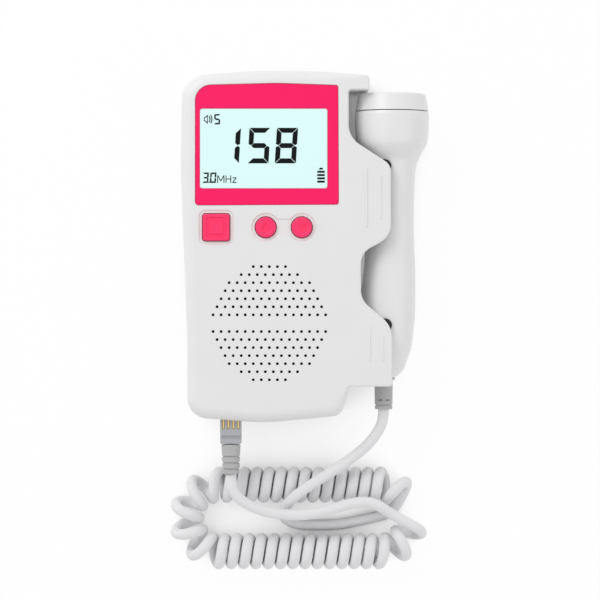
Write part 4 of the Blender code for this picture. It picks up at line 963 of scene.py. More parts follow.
def make_front(finishes):
    sizes = bpy.context.scene.monitor_shells
    face = bpy.context.scene.monitor_face
    front = body_slab("front_shell", FRONT_BOTTOM, FACE_LEVEL, top=True)
    cutters = [slab("front_room", room_corners(), FRONT_BOTTOM - OVERRUN, FACE_UNDERSIDE)]
    cutters += channel_cutters(FRONT_BOTTOM - OVERRUN, CHANNEL_TOP)
    panel = share_corners(PANEL_CORNERS)

    def panel_outline(out):
        return grown(panel, GAP / 2 + out)

    cutters.append(recess("panel_recess", panel_outline, PANEL_FLOOR, FACE_LEVEL, face.rim))
    window = rectangle(WINDOW.x, WINDOW.y, *DISPLAY_HOLE, 0.8 * MM)
    cutters.append(slab("window_hole", window, FACE_UNDERSIDE - OVERRUN, FACE_LEVEL))
    cutters += button_cutters()
    cutters += [plug_opening(), jack_opening()]
    combine(front, "DIFFERENCE", *cutters)
    for cutter in grille_cutters(finishes["shell_white"]):
        combine(front, "DIFFERENCE", cutter)
    ribs = []
    for number, (x_share, low_share, high_share) in enumerate(RIBS):
        x, low, high = across(x_share), along(low_share), along(high_share)
        outline = rectangle(x, (low + high) / 2, sizes.rib_width, high - low, 0.49 * sizes.rib_width)
        base = FACE_LEVEL - 0.3 * MM
        ribs.append(slab(f"rib_{number}", outline, base, FACE_LEVEL + sizes.rib_height, 0.3 * MM))
    combine(front, "UNION", *ribs)
    return placed(smoothed(front), finishes["shell_white"], "white_shell", "monitor", "front_housing")


def make_rear(finishes):
    rear = body_slab("rear_shell", 0, REAR_TOP)
    core_side = across(NOTCH_SHARE) + GAP
    channel_floor = low_corner("cradle_pad_upper").z - GAP - 2 * CRADLE_HALF_DEPTH - GAP
    head_bottom = along(HORN_SHARE) - HEAD_RADIUS
    cutters = [slab("rear_room", room_corners(), 3.0 * MM, REAR_TOP + OVERRUN)]
    cutters += channel_cutters(channel_floor, REAR_TOP + OVERRUN)
    under = (core_side + 0.8 * MM, BODY_BOTTOM, -OVERRUN)
    cutters.append(block("underside", under, (BODY_RIGHT + OVERRUN, head_bottom, channel_floor - 3.2 * MM)))
    cutters.append(jack_opening())
    low, high = low_corner("battery_door"), high_corner("battery_door")
    door = (low.x - GAP, BODY_BOTTOM - OVERRUN, -OVERRUN)
    cutters.append(block("door_recess", door, (high.x + GAP, high.y + GAP, high.z + GAP)))
    cell = middle_of("battery_1")
    far_cell = middle_of("battery_2")
    left = min(cell.x, far_cell.x) - CELL_ROOM_RADIUS
    right = max(cell.x, far_cell.x) + CELL_ROOM_RADIUS
    ends = [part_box(f"battery_{part}_{number}") for part in ("spring", "contact") for number in (1, 2)]
    bottom = min(box[0][1] for box in ends) - GAP
    top = max(box[1][1] for box in ends) + GAP
    cutters.append(block("bay", (left, bottom, -OVERRUN), (right, top, 5.0 * MM)))
    walls_low = (left - BAY_WALL, bottom - BAY_WALL, 2.9 * MM)
    walls = block("bay_walls", walls_low, (right + BAY_WALL, top + BAY_WALL, REAR_TOP))
    bosses = []
    for number, (x_share, y_share) in enumerate(SCREWS):
        x, y = across(x_share), along(y_share)
        bosses.append(cylinder(f"boss_{number}", SCREW_BOSS_RADIUS, (x, y, 1.5 * MM), (x, y, REAR_TOP)))
    combine(rear, "DIFFERENCE", *cutters[:4])
    combine(rear, "UNION", walls, *bosses)
    bores = [block("bay_room", (left, bottom, -OVERRUN), (right, top, REAR_TOP + OVERRUN))]
    for number, (x_share, y_share) in enumerate(SCREWS):
        x, y = across(x_share), along(y_share)
        start, end, sink_end = ((x, y, z) for z in (-OVERRUN, REAR_TOP + OVERRUN, SCREW_SINK_TOP))
        bores.append(cylinder(f"bore_{number}", SCREW_HOLE_RADIUS, start, end))
        bores.append(cylinder(f"sink_{number}", SCREW_SINK_RADIUS, start, sink_end))
    combine(rear, "DIFFERENCE", *cutters[4:], *bores)
    return placed(smoothed(rear), finishes["shell_white"], "white_shell", "monitor", "rear_housing")


def make_door(finishes):
    """The door follows the rear shell's outside, with a ribbed thumb grip."""
    low, high = low_corner("battery_door"), high_corner("battery_door")
    door = body_slab("door_panel", 0, REAR_TOP)
    cut_low = (low.x, BODY_BOTTOM - OVERRUN, -OVERRUN)
    combine(door, "INTERSECT", block("door_slice", cut_low, high))
    middle = (low.x + high.x) / 2
    grooves = []
    for number in range(6):
        y = low.y + 9.0 * MM + number * 1.8 * MM
        half = (9.0 - number * 0.9) * MM
        outline = rectangle(middle, y, 2 * half, 0.8 * MM, 0.39 * MM)
        grooves.append(slab(f"grip_{number}", outline, -OVERRUN, 0.45 * MM, 0.2 * MM))
    combine(door, "DIFFERENCE", *grooves)
    return placed(smoothed(door), finishes["shell_white"], "white_shell", "door", "battery_door")


def make_panel(finishes):
    top = high_corner("face_panel").z
    bottom = low_corner("face_panel").z
    panel = slab("pink_plate", share_corners(PANEL_CORNERS), bottom, top, 0.15 * MM)
    hole = rectangle(WINDOW.x, WINDOW.y, *PANE_HOLE, 1.0 * MM)
    opening = recess("panel_window", lambda out: grown(hole, out), bottom - OVERRUN, top, 0.12 * MM)
    combine(panel, "DIFFERENCE", opening)
    placed(smoothed(panel), finishes["panel_pink"], "pink_panel", "monitor", "face_panel")
    pane = rectangle(WINDOW.x, WINDOW.y, *PANE_SIZE, 0.9 * MM)
    low, high = low_corner("display_window").z, high_corner("display_window").z
    window = slab("display_pane", pane, low, high, 0.1 * MM)
    placed(smoothed(window), finishes["display_lit"], "display", "monitor", "display_window")


DIGITS = {"0": "abcdef", "1": "bc", "3": "abcdg", "5": "acdfg", "8": "abcdefg"}
SLANT = 0.062
# The strokes of the letters M, H and z: from x, y to x, y
UNIT_STROKES = [
    tuple(place * MM for place in stroke)
    for stroke in (
        (0.15, 0, 0.15, 2.9),
        (0.25, 2.8, 1.35, 0.7),
        (1.35, 0.7, 2.45, 2.8),
        (2.55, 2.9, 2.55, 0),
        (3.35, 0, 3.35, 2.9),
        (3.35, 1.5, 5.15, 1.5),
        (5.15, 0, 5.15, 2.9),
        (5.8, 1.95, 7.3, 1.95),
        (7.2, 1.9, 5.85, 0.2),
        (5.75, 0.15, 7.35, 0.15),
    )
]


def segment_outlines(width, height, stroke, split):
    """The outlines of a digit's seven segments, with mitred ends and small splits between them."""
    middle = height / 2
    top = [
        (split, height),
        (stroke + split, height - stroke),
        (width - stroke - split, height - stroke),
        (width - split, height),
    ]
    upper_left = [
        (0, height - split),
        (0, middle + 0.3 * stroke),
        (stroke / 2, middle + split),
        (stroke, middle + stroke / 2),
        (stroke, height - stroke - split),
    ]
    bar = [
        (stroke / 2 + split, middle),
        (stroke + split, middle - stroke / 2),
        (width - stroke - split, middle - stroke / 2),
        (width - stroke / 2 - split, middle),
        (width - stroke - split, middle + stroke / 2),
        (stroke + split, middle + stroke / 2),
    ]

    def below(outline):
        return [(x, height - y) for x, y in reversed(outline)]

    def beside(outline):
        return [(width - x, y) for x, y in reversed(outline)]

    return {
        "a": top,
        "b": beside(upper_left),
        "c": beside(below(upper_left)),
        "d": below(top),
        "e": below(upper_left),
        "f": upper_left,
        "g": bar,
    }


def plate_into(bm, outline, level):
    """Adds a thin plate on the display, from an anticlockwise outline."""
    loft_into(bm, [[(x, y, level + rise) for x, y in outline] for rise in (0, MARK_THICKNESS)])


def unit_into(bm, left, bottom, stroke, level):
    """Adds the unit beside the small digits, each stroke a plate."""
    for number, (x0, y0, x1, y1) in enumerate(UNIT_STROKES):
        start, end = Vector((left + x0, bottom + y0)), Vector((left + x1, bottom + y1))
        side = (end - start).normalized().orthogonal() * stroke / 2
        outline = [start + side, end + side, end - side, start - side]
        plate_into(bm, outline, level + number * MARK_LIFT)


def digit_into(bm, digit, left, bottom, size, stroke, level):
    width, height = size
    outlines = segment_outlines(width, height, stroke, 0.07 * stroke)
    for key in DIGITS[digit]:
        plate_into(bm, [(left + x + SLANT * y, bottom + y) for x, y in outlines[key]], level)


def ring_piece(x, y, radius, stroke, spread):
    """The outline of a sound wave: a bow to the right of a place."""
    angles = [spread * (step / 6 - 1) for step in range(13)]
    outer = [(x + radius * math.cos(a), y + radius * math.sin(a)) for a in angles]
    inner = [(x + (radius - stroke) * math.cos(a), y + (radius - stroke) * math.sin(a)) for a in angles]
    return outer + inner[::-1]


def make_display_marks(finishes):
    """The digits, the sound mark and the battery mark, as thin plates on the pane."""
    face = bpy.context.scene.monitor_face
    level = high_corner("display_window").z + 0.005 * MM
    bm = bmesh.new()
    big = (8.1 * MM, face.digit_height)
    bottom = WINDOW.y - 5.7 * MM
    for digit, left in (("1", -17.6), ("5", -6.25), ("8", 4.25)):
        digit_into(bm, digit, WINDOW.x + left * MM, bottom, big, face.digit_stroke, level)
    small, thin = (2.35 * MM, 4.0 * MM), 0.62 * MM
    digit_into(bm, "5", WINDOW.x - 19.1 * MM, WINDOW.y + 9.2 * MM, small, thin, level)
    digit_into(bm, "3", WINDOW.x - 23.55 * MM, WINDOW.y - 13.2 * MM, small, thin, level)
    digit_into(bm, "0", WINDOW.x - 20.65 * MM, WINDOW.y - 13.2 * MM, small, thin, level)
    dot = disc(WINDOW.x - 20.85 * MM, WINDOW.y - 12.95 * MM, 0.27 * MM, 12)
    plate_into(bm, dot, level + MARK_LIFT)
    unit_into(bm, WINDOW.x - 17.75 * MM, WINDOW.y - 13.2 * MM, 0.34 * MM, level)
    x, y = WINDOW.x - 22.9 * MM, WINDOW.y + 11.2 * MM
    body = [(0, -0.75), (0.4, -0.75), (1.5, -1.85), (1.5, -1.35), (0.6, -0.45), (0.3, -0.45), (0.3, 0.45)]
    body += [(0.6, 0.45), (1.5, 1.35), (1.5, 1.85), (0.4, 0.75), (0, 0.75)]
    plate_into(bm, [(x + u * MM, y + v * MM) for u, v in body], level)
    front = [(1.25, -1.45), (1.55, -1.45), (1.55, 1.45), (1.25, 1.45)]
    plate_into(bm, [(x + u * MM, y + v * MM) for u, v in front], level + MARK_LIFT)
    for radius in (2.0, 2.75):
        plate_into(bm, ring_piece(x + 0.55 * MM, y, radius * MM, 0.42 * MM, math.radians(38)), level)
    x, y = WINDOW.x + 20.55 * MM, WINDOW.y - 13.1 * MM
    for bar in range(4):
        low, right = y + bar * 1.26 * MM, x + 2.9 * MM
        high = low + 0.78 * MM
        plate_into(bm, [(x, low), (right, low), (right, high), (x, high)], level)
    cap = [(0.7, 5.0), (2.2, 5.0), (2.2, 5.4), (1.85, 5.75), (1.05, 5.75), (0.7, 5.4)]
    plate_into(bm, [(x + u * MM, y + v * MM) for u, v in cap], level)
    marks = mesh_object("display_marks", bm)
    placed(marks, finishes["display_segment"], "display", "monitor")


def make_buttons(finishes):
    face = bpy.context.scene.monitor_face
    places = button_places()
    top = high_corner("power_button").z
    low = FACE_UNDERSIDE - GAP - 0.8 * MM
    spot = places["power"]
    outline = rectangle(spot.x, spot.y, KEY_SIDE, KEY_SIDE, 1.0 * MM)
    power = slab("power_cap", outline, low, top, face.button_round)
    dish = rectangle(spot.x, spot.y, 7.5 * MM, 7.5 * MM, 0.8 * MM)
    hollow = recess("dish", lambda out: grown(dish, out), top - 0.5 * MM, top, 0.45 * MM)
    combine(power, "DIFFERENCE", hollow)
    crown = rectangle(spot.x, spot.y, 5.4 * MM, 5.4 * MM, 0.7 * MM)
    combine(power, "UNION", slab("crown", crown, top - 0.6 * MM, top - 0.1 * MM, 0.38 * MM))
    placed(smoothed(power), finishes["button_pink"], "pink_button", "power_key", "power_button")
    for key, facing in (("volume_up", 1), ("volume_down", -1)):
        spot = places[key]
        profile = profile_of([
            (0, top - 0.22 * MM - low, 0),
            (2.3 * MM, top - 0.16 * MM - low, 1.5 * MM),
            (3.0 * MM, top - low, 0.5 * MM),
            (KEY_RADIUS, top - 0.05 * MM - low, face.button_round),
            (KEY_RADIUS, 0, 0),
            (0, 0, 0),
        ])
        cap = turned(key + "_cap", profile, (spot.x, spot.y, low))
        reach = 1.9 * MM
        corners = []
        for number in range(3):
            angle = math.radians(90 * facing + 120 * number)
            corners.append((spot.x + reach * math.cos(angle), spot.y + reach * math.sin(angle), 0.25 * MM))
        floor = top - 0.55 * MM

        def triangle(out, corners=corners):
            return grown(corners, out)

        mark = recess("mark", triangle, floor, top - 0.18 * MM, 0.15 * MM)
        combine(cap, "DIFFERENCE", mark)
        placed(smoothed(cap), finishes["button_pink"], "pink_button", key + "_key", key + "_button")


def section_rows():
    """The probe's sections, filled in smoothly between the rows of the table."""
    rows = [Vector((row[1], row[2], row[3], row[0])) for row in PROBE_SECTIONS]
    filled = []
    for index in range(len(rows) - 1):
        before = rows[max(index - 1, 0)]
        start, end = rows[index], rows[index + 1]
        after = rows[min(index + 2, len(rows) - 1)]
        span = end.w - start.w
        slope_in = (end - before) / max(end.w - before.w, 1e-6) * span
        slope_out = (after - start) / max(after.w - start.w, 1e-6) * span
        steps = max(2, round(span * PROBE_LENGTH / (0.9 * MM)))
        for step in range(steps):
            t = step / steps
            row = start * (2 * t**3 - 3 * t**2 + 1) + slope_in * (t**3 - 2 * t**2 + t)
            row += end * (3 * t**2 - 2 * t**3) + slope_out * (t**3 - t**2)
            filled.append((start.w + span * t, row.x, row.y, row.z))
    last = rows[-1]
    return filled + [(last.w, last.x, last.y, last.z)]


def probe_half(name, facing):
    """One half of the probe's shell: a C in section, with eased edges along its seam."""
    wall, ease = 1.8 * MM, 0.18 * MM
    rings = []
    rows = section_rows()
    seam = GAP / 2
    for number, (share, shift, half_width, half_depth) in enumerate(rows):
        y = HEAD_END - share * PROBE_LENGTH
        x = HEAD.x + shift * HEAD_RADIUS
        shrink = ease if number == 0 else 0
        width, depth = half_width * HEAD_RADIUS - shrink, half_depth * HEAD_RADIUS - shrink
        first = math.asin((seam + ease) / depth)
        outer = [(width - ease, seam)]
        for side in range(SECTION_SIDES // 2 + 1):
            angle = first + (math.pi - 2 * first) * side / (SECTION_SIDES // 2)
            outer.append((width * math.cos(angle), depth * math.sin(angle)))
        outer.append((ease - width, seam))
        inner_width, inner_depth = max(width - wall, 2.9 * MM), max(depth - wall, 2.9 * MM)
        if number > len(rows) - 4:
            inner_width = inner_depth = 2.9 * MM
        start = math.asin(seam / inner_depth)
        inner = []
        for side in range(SECTION_SIDES // 2 + 1):
            angle = start + (math.pi - 2 * start) * side / (SECTION_SIDES // 2)
            inner.append((inner_width * math.cos(angle), inner_depth * math.sin(angle)))
        ring = [(x + u, y, HEAD.z + facing * v) for u, v in outer + inner[::-1]]
        rings.append(ring)
    return loft(name, rings)


def make_probe(finishes):
    for part, facing in (("front", 1), ("rear", -1)):
        shell = smoothed(probe_half(f"probe_{part}", facing))
        placed(shell, finishes["probe_white"], "white_shell", "probe", f"probe_{part}_shell")
    low = low_corner("probe_head_cap").y
    reach = HEAD_END - low
    base = 0.989 * HEAD_RADIUS
    profile = profile_of([
        (0, reach - 0.25 * MM, 0),
        (0.80 * HEAD_RADIUS, reach - 0.02 * MM, 8.0 * MM),
        (0.905 * HEAD_RADIUS, reach - 0.05 * MM, 1.1 * MM),
        (0.944 * HEAD_RADIUS, 0.50 * reach, 3.0 * MM),
        (base, 0, 0.25 * MM),
        (base - 1.6 * MM, 0, 0),
        (0.909 * HEAD_RADIUS - 1.8 * MM, reach - 1.6 * MM, 0),
        (0, reach - 1.6 * MM, 0),
    ])
    cap = turned("head_cap", profile, (HEAD.x, low, HEAD.z), (0, 1, 0), 96)
    placed(smoothed(cap), finishes["probe_white"], "white_shell", "probe", "probe_head_cap")


def make_relief(finishes):
    """The strain relief: a flange, a plain sleeve, two open slots, and an end ring with a line."""
    radius = 3.45 * MM
    start = PROBE_END - GAP
    end = RELIEF_END - start
    profile = profile_of([
        (0, 3.4 * MM, 0),
        (2.6 * MM, 3.4 * MM, 0.3 * MM),
        (2.6 * MM, 0, 0),
        (4.4 * MM, 0, 0.3 * MM),
        (4.4 * MM, -1.0 * MM, 0.4 * MM),
        (radius + 0.1 * MM, -1.2 * MM, 0.2 * MM),
        (radius, end + 1.9 * MM, 0.08 * MM),
        (radius - 0.4 * MM, end + 1.85 * MM, 0),
        (radius - 0.4 * MM, end + 1.4 * MM, 0),
        (radius, end + 1.35 * MM, 0.08 * MM),
        (radius - 0.1 * MM, end, 0.4 * MM),
        (0, end, 0),
    ])
    origin = Vector((RELIEF.x, start, RELIEF.z))
    relief = turned("lead_relief", profile, origin, (0, 1, 0), 48)
    slots = []
    low_y, high_y = RELIEF_END + 3.3 * MM, RELIEF_END + 4.0 * MM
    for side in (-1, 1):
        near, far = sorted((RELIEF.x + side * 0.7 * MM, RELIEF.x + side * 2.9 * MM))
        for facing in (-1, 1):
            low, high = sorted((RELIEF.z + facing * 2.4 * MM, RELIEF.z + facing * 5 * MM))
            slots.append(block(f"slot_{side}_{facing}", (near, low_y, low), (far, high_y, high)))
    combine(relief, "DIFFERENCE", *slots)
    return placed(smoothed(relief), finishes["boot_grey"], "grey_relief", "probe", "probe_strain_relief")


def make_pads(finishes):
    for name in ("cradle_pad_upper", "cradle_pad_lower"):
        spot, low, high = middle_of(name), low_corner(name).z, high_corner(name).z
        profile = profile_of([
            (0, high - low, 0),
            (2.55 * MM, high - low, 0.25 * MM),
            (2.55 * MM, 0, 0.3 * MM),
            (0, 0, 0),
        ])
        pad = turned(name.replace("cradle", "rubber"), profile, (spot.x, spot.y, low), sides=48)
        placed(smoothed(pad), finishes["black_rubber"], "black_rubber", "monitor", name)


def make_plug(finishes):
    """The clear plug with its latch and contacts, and the grooved boot. Gives all of its pieces."""
    sizes = bpy.context.scene.monitor_leads
    low, high = low_corner("plug_body"), high_corner("plug_body")
    plug = bevelled(block("plug_shell", low, high), sizes.plug_chamfer)
    slots = []
    for number in range(1, 5):
        contact = f"plug_contact_{number}"
        contact_low, contact_high = low_corner(contact), high_corner(contact)
        grow = 0.15 * MM
        slot_low = contact_low - Vector((grow, grow, grow))
        slot_high = Vector((contact_high.x + grow, high.y + OVERRUN, high.z + OVERRUN))
        slots.append(block(f"contact_slot_{number}", slot_low, slot_high))
    waist_low = (low.x - OVERRUN, low.y + 2.0 * MM, high.z - 0.5 * MM)
    waist = block("waist", waist_low, (high.x + OVERRUN, low.y + 3.2 * MM, high.z + OVERRUN))
    combine(plug, "DIFFERENCE", *slots, waist)
    placed(smoothed(plug), finishes["clear_plug"], "clear_plug", "monitor", "plug_body")
    pieces = [plug]
    for number in range(1, 5):
        name = f"plug_contact_{number}"
        contact = bevelled(block(f"plug_blade_{number}", low_corner(name), high_corner(name)), 0.08 * MM, 2)
        placed(smoothed(contact), finishes["gold_contact"], "gold_contact", "monitor", name)
        pieces.append(contact)
    top = high_corner("plug_boot").y
    reach = top - BOOT_END
    rows = [(0, 0, 0), (3.7 * MM, 0, 0.5 * MM)]
    for share in (0.40, 0.61, 0.82):
        radius, y, half = (3.7 - 0.5 * share) * MM, -reach * share, 0.3 * MM
        rows += [
            (radius, y + half, 0.1 * MM),
            (radius - sizes.groove_depth, y + 0.7 * half, 0),
            (radius - sizes.groove_depth, y - 0.7 * half, 0),
            (radius, y - half, 0.1 * MM),
        ]
    rows += [(3.15 * MM, -reach, 0.5 * MM), (0, -reach, 0)]
    boot = turned("lead_boot", profile_of(rows), (PLUG.x, top, PLUG.z), (0, 1, 0), 48)
    placed(smoothed(boot), finishes["boot_grey"], "grey_relief", "monitor", "plug_boot")
    return pieces + [boot]


# The curly lead


def ring_place(distance):
    """The place and heading on the ring's middle line, clockwise from its right end."""
    bend = math.pi * RING_BEND
    distance %= 2 * (bend + RING_STRAIGHT)
    half = RING_STRAIGHT / 2
    if distance < bend / 2:
        centre, angle = half, -distance / RING_BEND
    elif distance < bend / 2 + RING_STRAIGHT:
        x = half - (distance - bend / 2)
        return RING + Vector((x, -RING_BEND, 0)), Vector((-1, 0, 0))
    elif distance < 3 * bend / 2 + RING_STRAIGHT:
        centre, angle = -half, -math.pi / 2 - (distance - bend / 2 - RING_STRAIGHT) / RING_BEND
    elif distance < 3 * bend / 2 + 2 * RING_STRAIGHT:
        x = -half + (distance - 3 * bend / 2 - RING_STRAIGHT)
        return RING + Vector((x, RING_BEND, 0)), Vector((1, 0, 0))
    else:
        centre, angle = half, math.pi / 2 - (distance - 3 * bend / 2 - 2 * RING_STRAIGHT) / RING_BEND
    out = Vector((math.cos(angle), math.sin(angle), 0))
    return RING + Vector((centre, 0, 0)) + out * RING_BEND, Vector((out.y, -out.x, 0))


def curl_point(distance, phase, middle_z):
    spot, heading = ring_place(distance)
    out = Vector((-heading.y, heading.x, 0))
    swing = out * -math.cos(phase) * CURL_RADIUS
    return spot + swing + Vector((0, 0, middle_z + CURL_RADIUS * math.sin(phase)))


def coil_points(cord_radius):
    """The curls' points. The pitch is decided at the same places as in the part's source."""
    bend = math.pi * RING_BEND
    whole = 2 * (bend + RING_STRAIGHT)
    distance, count = START_TURN_SHARE * bend, 0
    end = whole - END_TURN_SHARE * bend
    middle_z = RING_REST + cord_radius + CURL_RADIUS
    fine = POINTS_PER_CURL // CAD_POINTS_PER_CURL
    points = []
    while distance < end or count % CAD_POINTS_PER_CURL != CAD_POINTS_PER_CURL // 2:
        in_straight = (
            bend / 2 < distance < bend / 2 + RING_STRAIGHT
            or 3 * bend / 2 + RING_STRAIGHT < distance < 3 * bend / 2 + 2 * RING_STRAIGHT
        )
        step = (STRAIGHT_PITCH if in_straight else BEND_PITCH) / CAD_POINTS_PER_CURL
        for part in range(fine):
            share = part / fine
            phase = math.pi / 2 + 2 * math.pi * (count + share) / CAD_POINTS_PER_CURL
            points.append(curl_point(distance + step * share, phase, middle_z))
        distance += step
        count += 1
    phase = math.pi / 2 + 2 * math.pi * count / CAD_POINTS_PER_CURL
    return points + [curl_point(distance, phase, middle_z)]


def smooth_run(route, step_length):
    """Points about a step apart on a smooth curve through the route's own points."""
    padded = [2 * route[0] - route[1]] + route + [2 * route[-1] - route[-2]]
    points = []
    for index in range(len(route) - 1):
        before, start, end, after = padded[index : index + 4]
        steps = max(1, round((end - start).length / step_length))
        for step in range(steps):
            t = step / steps
            point = start * (2 * t**3 - 3 * t**2 + 1) + (end - before) / 2 * (t**3 - 2 * t**2 + t)
            points.append(point + end * (3 * t**2 - 2 * t**3) + (after - start) / 2 * (t**3 - t**2))
    return points + [route[-1]]


def lead_points(cord_radius):
    """The whole lead's middle line, from the plug's boot to the probe's strain relief."""
    down = Vector((0, -1, 0))
    tail = 2 * cord_radius
    coil = coil_points(cord_radius)
    into = level_heading(coil[1] - coil[0])
    out = level_heading(coil[-1] - coil[-2])
    start = Vector((PLUG.x, BOOT_END - 0.05 * MM, PLUG.z))
    end = Vector((RELIEF.x, RELIEF_END + 0.05 * MM, RELIEF.z))
    first = [start, start + down * tail] + [Vector(point) for point in PLUG_LEAD_ROUTE]
    first += [coil[0] - into * 2 * tail, coil[0] - into * tail]
    second = [coil[-1] + out * tail, coil[-1] + out * 2 * tail]
    second += [Vector(point) for point in PROBE_LEAD_ROUTE] + [end + down * tail, end]
    step = 1.2 * MM
    runs = [smooth_run(first, step), coil, smooth_run(second, step)]
    points = runs[0] + runs[1] + runs[2]
    starts, ends = len(runs[0]), len(runs[0]) + len(coil)
    shares = []
    for number in range(len(points)):
        inside = min(number - starts, ends - 1 - number)
        shares.append(min(1.0, max(0.15, 1 - inside / EASED_POINTS)))
    return evened(points, shares)


def level_heading(step):
    return Vector((step.x, step.y, 0)).normalized()


def evened(points, shares, rounds=12):
    """The points smoothed, each by its share, so that the lead's runs meet the coil without kinks."""
    for _ in range(rounds):
        around = zip(points, points[1:], points[2:], shares[1:])
        middle = [b.lerp((a + c) / 2, share / 2) for a, b, c, share in around]
        points = [points[0]] + middle + [points[-1]]
    return points


def tube_rings(points, radius):
    """Rings round a line, without twist."""
    rings = []
    normal = None
    for index, point in enumerate(points):
        before, after = points[max(index - 1, 0)], points[min(index + 1, len(points) - 1)]
        heading = (after - before).normalized()
        if normal is None:
            normal = heading.orthogonal().normalized()
        normal = (normal - heading * normal.dot(heading)).normalized()
        side = heading.cross(normal)
        ring = []
        for number in range(CORD_SIDES):
            angle = 2 * math.pi * number / CORD_SIDES
            ring.append(point + normal * radius * math.cos(angle) + side * radius * math.sin(angle))
        rings.append(ring)
    return rings


def make_lead(finishes):
    radius = bpy.context.scene.monitor_leads.cord_radius
    points = lead_points(radius)
    lead = loft("curly_lead", tube_rings(points, radius))
    smoothed(lead, math.radians(60))
    lead.data.materials.clear()
    lead.data.materials.append(finishes["cord_jacket"])
    whole = sum((b - a).length for a, b in zip(points, points[1:]))
    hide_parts("cord_lead_plug", "cord_coil", "cord_lead_probe")
    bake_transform(lead)
    print(f"lead length {whole:.3f} m")


# Pieces that keep the form of their CAD node

INNER_FINISHES = {
    "lcd_glass": "display_lit",
    "lcd_backlight": "display_lit",
    "main_board": "circuit_board",
    "probe_board": "circuit_board",
    "power_switch": "black_plastic",
    "volume_up_switch": "black_plastic",
    "volume_down_switch": "black_plastic",
    "speaker_frame": "black_plastic",
    "speaker_cone": "cone_paper",
    "speaker_magnet": "steel",
    "battery_1": "cell_sleeve",
    "battery_2": "cell_sleeve",
    "battery_spring_1": "steel",
    "battery_spring_2": "steel",
    "battery_contact_1": "steel",
    "battery_contact_2": "steel",
    "cord_socket": "black_plastic",
    "headphone_jack": "black_plastic",
    "transducer_disc": "sensor_disc",
    "transducer_backing": "black_rubber",
}


def dress_inner(finishes):
    for name, finish in INNER_FINISHES.items():
        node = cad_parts[name]
        for slot in node.material_slots:
            slot.material = finishes[finish]
        if not node.material_slots:
            node.data.materials.append(finishes[finish])


# Studio


def look_at(obj, target):
    obj.rotation_euler = (Vector(target) - obj.location).to_track_quat("-Z", "Y").to_euler()


def add_lamp(name, location, target, size, power):
    light = bpy.data.lights.new(name, "AREA")
    light.shape = "DISK"
    light.size = size
    light.energy = power
    lamp = bpy.data.objects.new(name, light)
    lamp.location = location
    bpy.context.scene.collection.objects.link(lamp)
    look_at(lamp, target)


def make_floor(studio):
    bm = bmesh.new()
    bmesh.ops.create_grid(bm, x_segments=1, y_segments=1, size=3.0)
    bmesh.ops.translate(bm, verts=bm.verts, vec=(0, 0, -0.02 * MM))
    mesh = bpy.data.meshes.new("floor")
    bm.to_mesh(mesh)
    bm.free()
    floor = bpy.data.objects.new("floor", mesh)
    bpy.context.scene.collection.objects.link(floor)
    finish = Finish("floor_paper")
    spots = finish.noise(300.0)
    tone = tuple(studio.floor)
    faint = finish.mix(spots, shade(tone, 0.995), tone)
    finish.set(Base_Color=faint, Roughness=0.9, Specular_IOR_Level=0.0)
    # Painted shade: ambient occlusion takes the floor's white away near the monitor, in its notches and
    # under it, so the lit paper shows there; the darkening is this painted shade together with the real
    # shadow on the paper.
    sky = finish.node("ShaderNodeAmbientOcclusion", {"samples": 16}, {"Distance": 45 * MM}, "AO")
    painted_shade_gate = finish.node("ShaderNodeMath", {"operation": "MINIMUM"}, {0: sky * 1.75, 1: 1.0})
    white = finish.node("ShaderNodeEmission", {}, {"Color": (1.0, 1.0, 1.0), "Strength": 1.0}, "Emission")
    share = finish.white_rays() * painted_shade_gate * studio.whiteness
    paper = Term(finish, finish.shader.outputs[0])
    mixed = finish.node("ShaderNodeMixShader", {}, {"Fac": share, 1: paper, 2: white}, "Shader")
    finish.links.new(mixed.socket, finish.output.inputs["Surface"])
    floor.data.materials.append(finish.material)


def make_world(studio):
    world = bpy.data.worlds.new("studio")
    sky = Shading(world)
    direction = sky.node("ShaderNodeTexCoord", {}, {}, "Generated")
    up = sky.node("ShaderNodeSeparateXYZ", {}, {"Vector": direction}, "Z")
    white = (1.0, 1.0, 1.0)
    strength = studio.world * (1.65 - 0.85 * up)
    light = sky.node("ShaderNodeBackground", {}, {"Color": white, "Strength": strength})
    plain = sky.node("ShaderNodeBackground", {}, {"Color": white, "Strength": 1.0})
    mixed = sky.node("ShaderNodeMixShader", {}, {"Fac": sky.white_rays(), 1: light, 2: plain}, "Shader")
    sky.links.new(mixed.socket, sky.nodes["World Output"].inputs["Surface"])
    bpy.context.scene.world = world


def make_camera(studio):
    data = bpy.data.cameras.new("photo_view")
    data.sensor_width = 36
    data.lens = studio.lens
    data.clip_start = 0.01
    data.clip_end = 10
    camera = bpy.data.objects.new("photo_view", data)
    camera.location = (studio.view_x, studio.view_y, studio.view_height)
    bpy.context.scene.collection.objects.link(camera)
    bpy.context.scene.camera = camera


# Operators


class MonitorPiece:
    """What the operators share."""

    bl_options = {"REGISTER", "UNDO"}


class MONITOR_OT_shells(MonitorPiece, bpy.types.Operator):
    """Builds the front shell, the rear shell and the battery door"""

    bl_idname = "monitor.shells"
    bl_label = "Shells"

    def execute(self, context):
        finishes = bpy.data.materials
        make_front(finishes)
        make_rear(finishes)
        make_door(finishes)
        return {"FINISHED"}


class MONITOR_OT_face(MonitorPiece, bpy.types.Operator):
    """Builds the pink panel, the display pane and its marks"""

    bl_idname = "monitor.face"
    bl_label = "Face and Display"

    def execute(self, context):
        make_panel(bpy.data.materials)
        make_display_marks(bpy.data.materials)
        return {"FINISHED"}


class MONITOR_OT_buttons(MonitorPiece, bpy.types.Operator):
    """Builds the square button and the two round buttons"""

    bl_idname = "monitor.buttons"
    bl_label = "Buttons"

    def execute(self, context):
        make_buttons(bpy.data.materials)
        return {"FINISHED"}


class MONITOR_OT_probe(MonitorPiece, bpy.types.Operator):
    """Builds the probe's two halves and its head cap"""

    bl_idname = "monitor.probe"
    bl_label = "Probe"

    def execute(self, context):
        make_probe(bpy.data.materials)
        return {"FINISHED"}


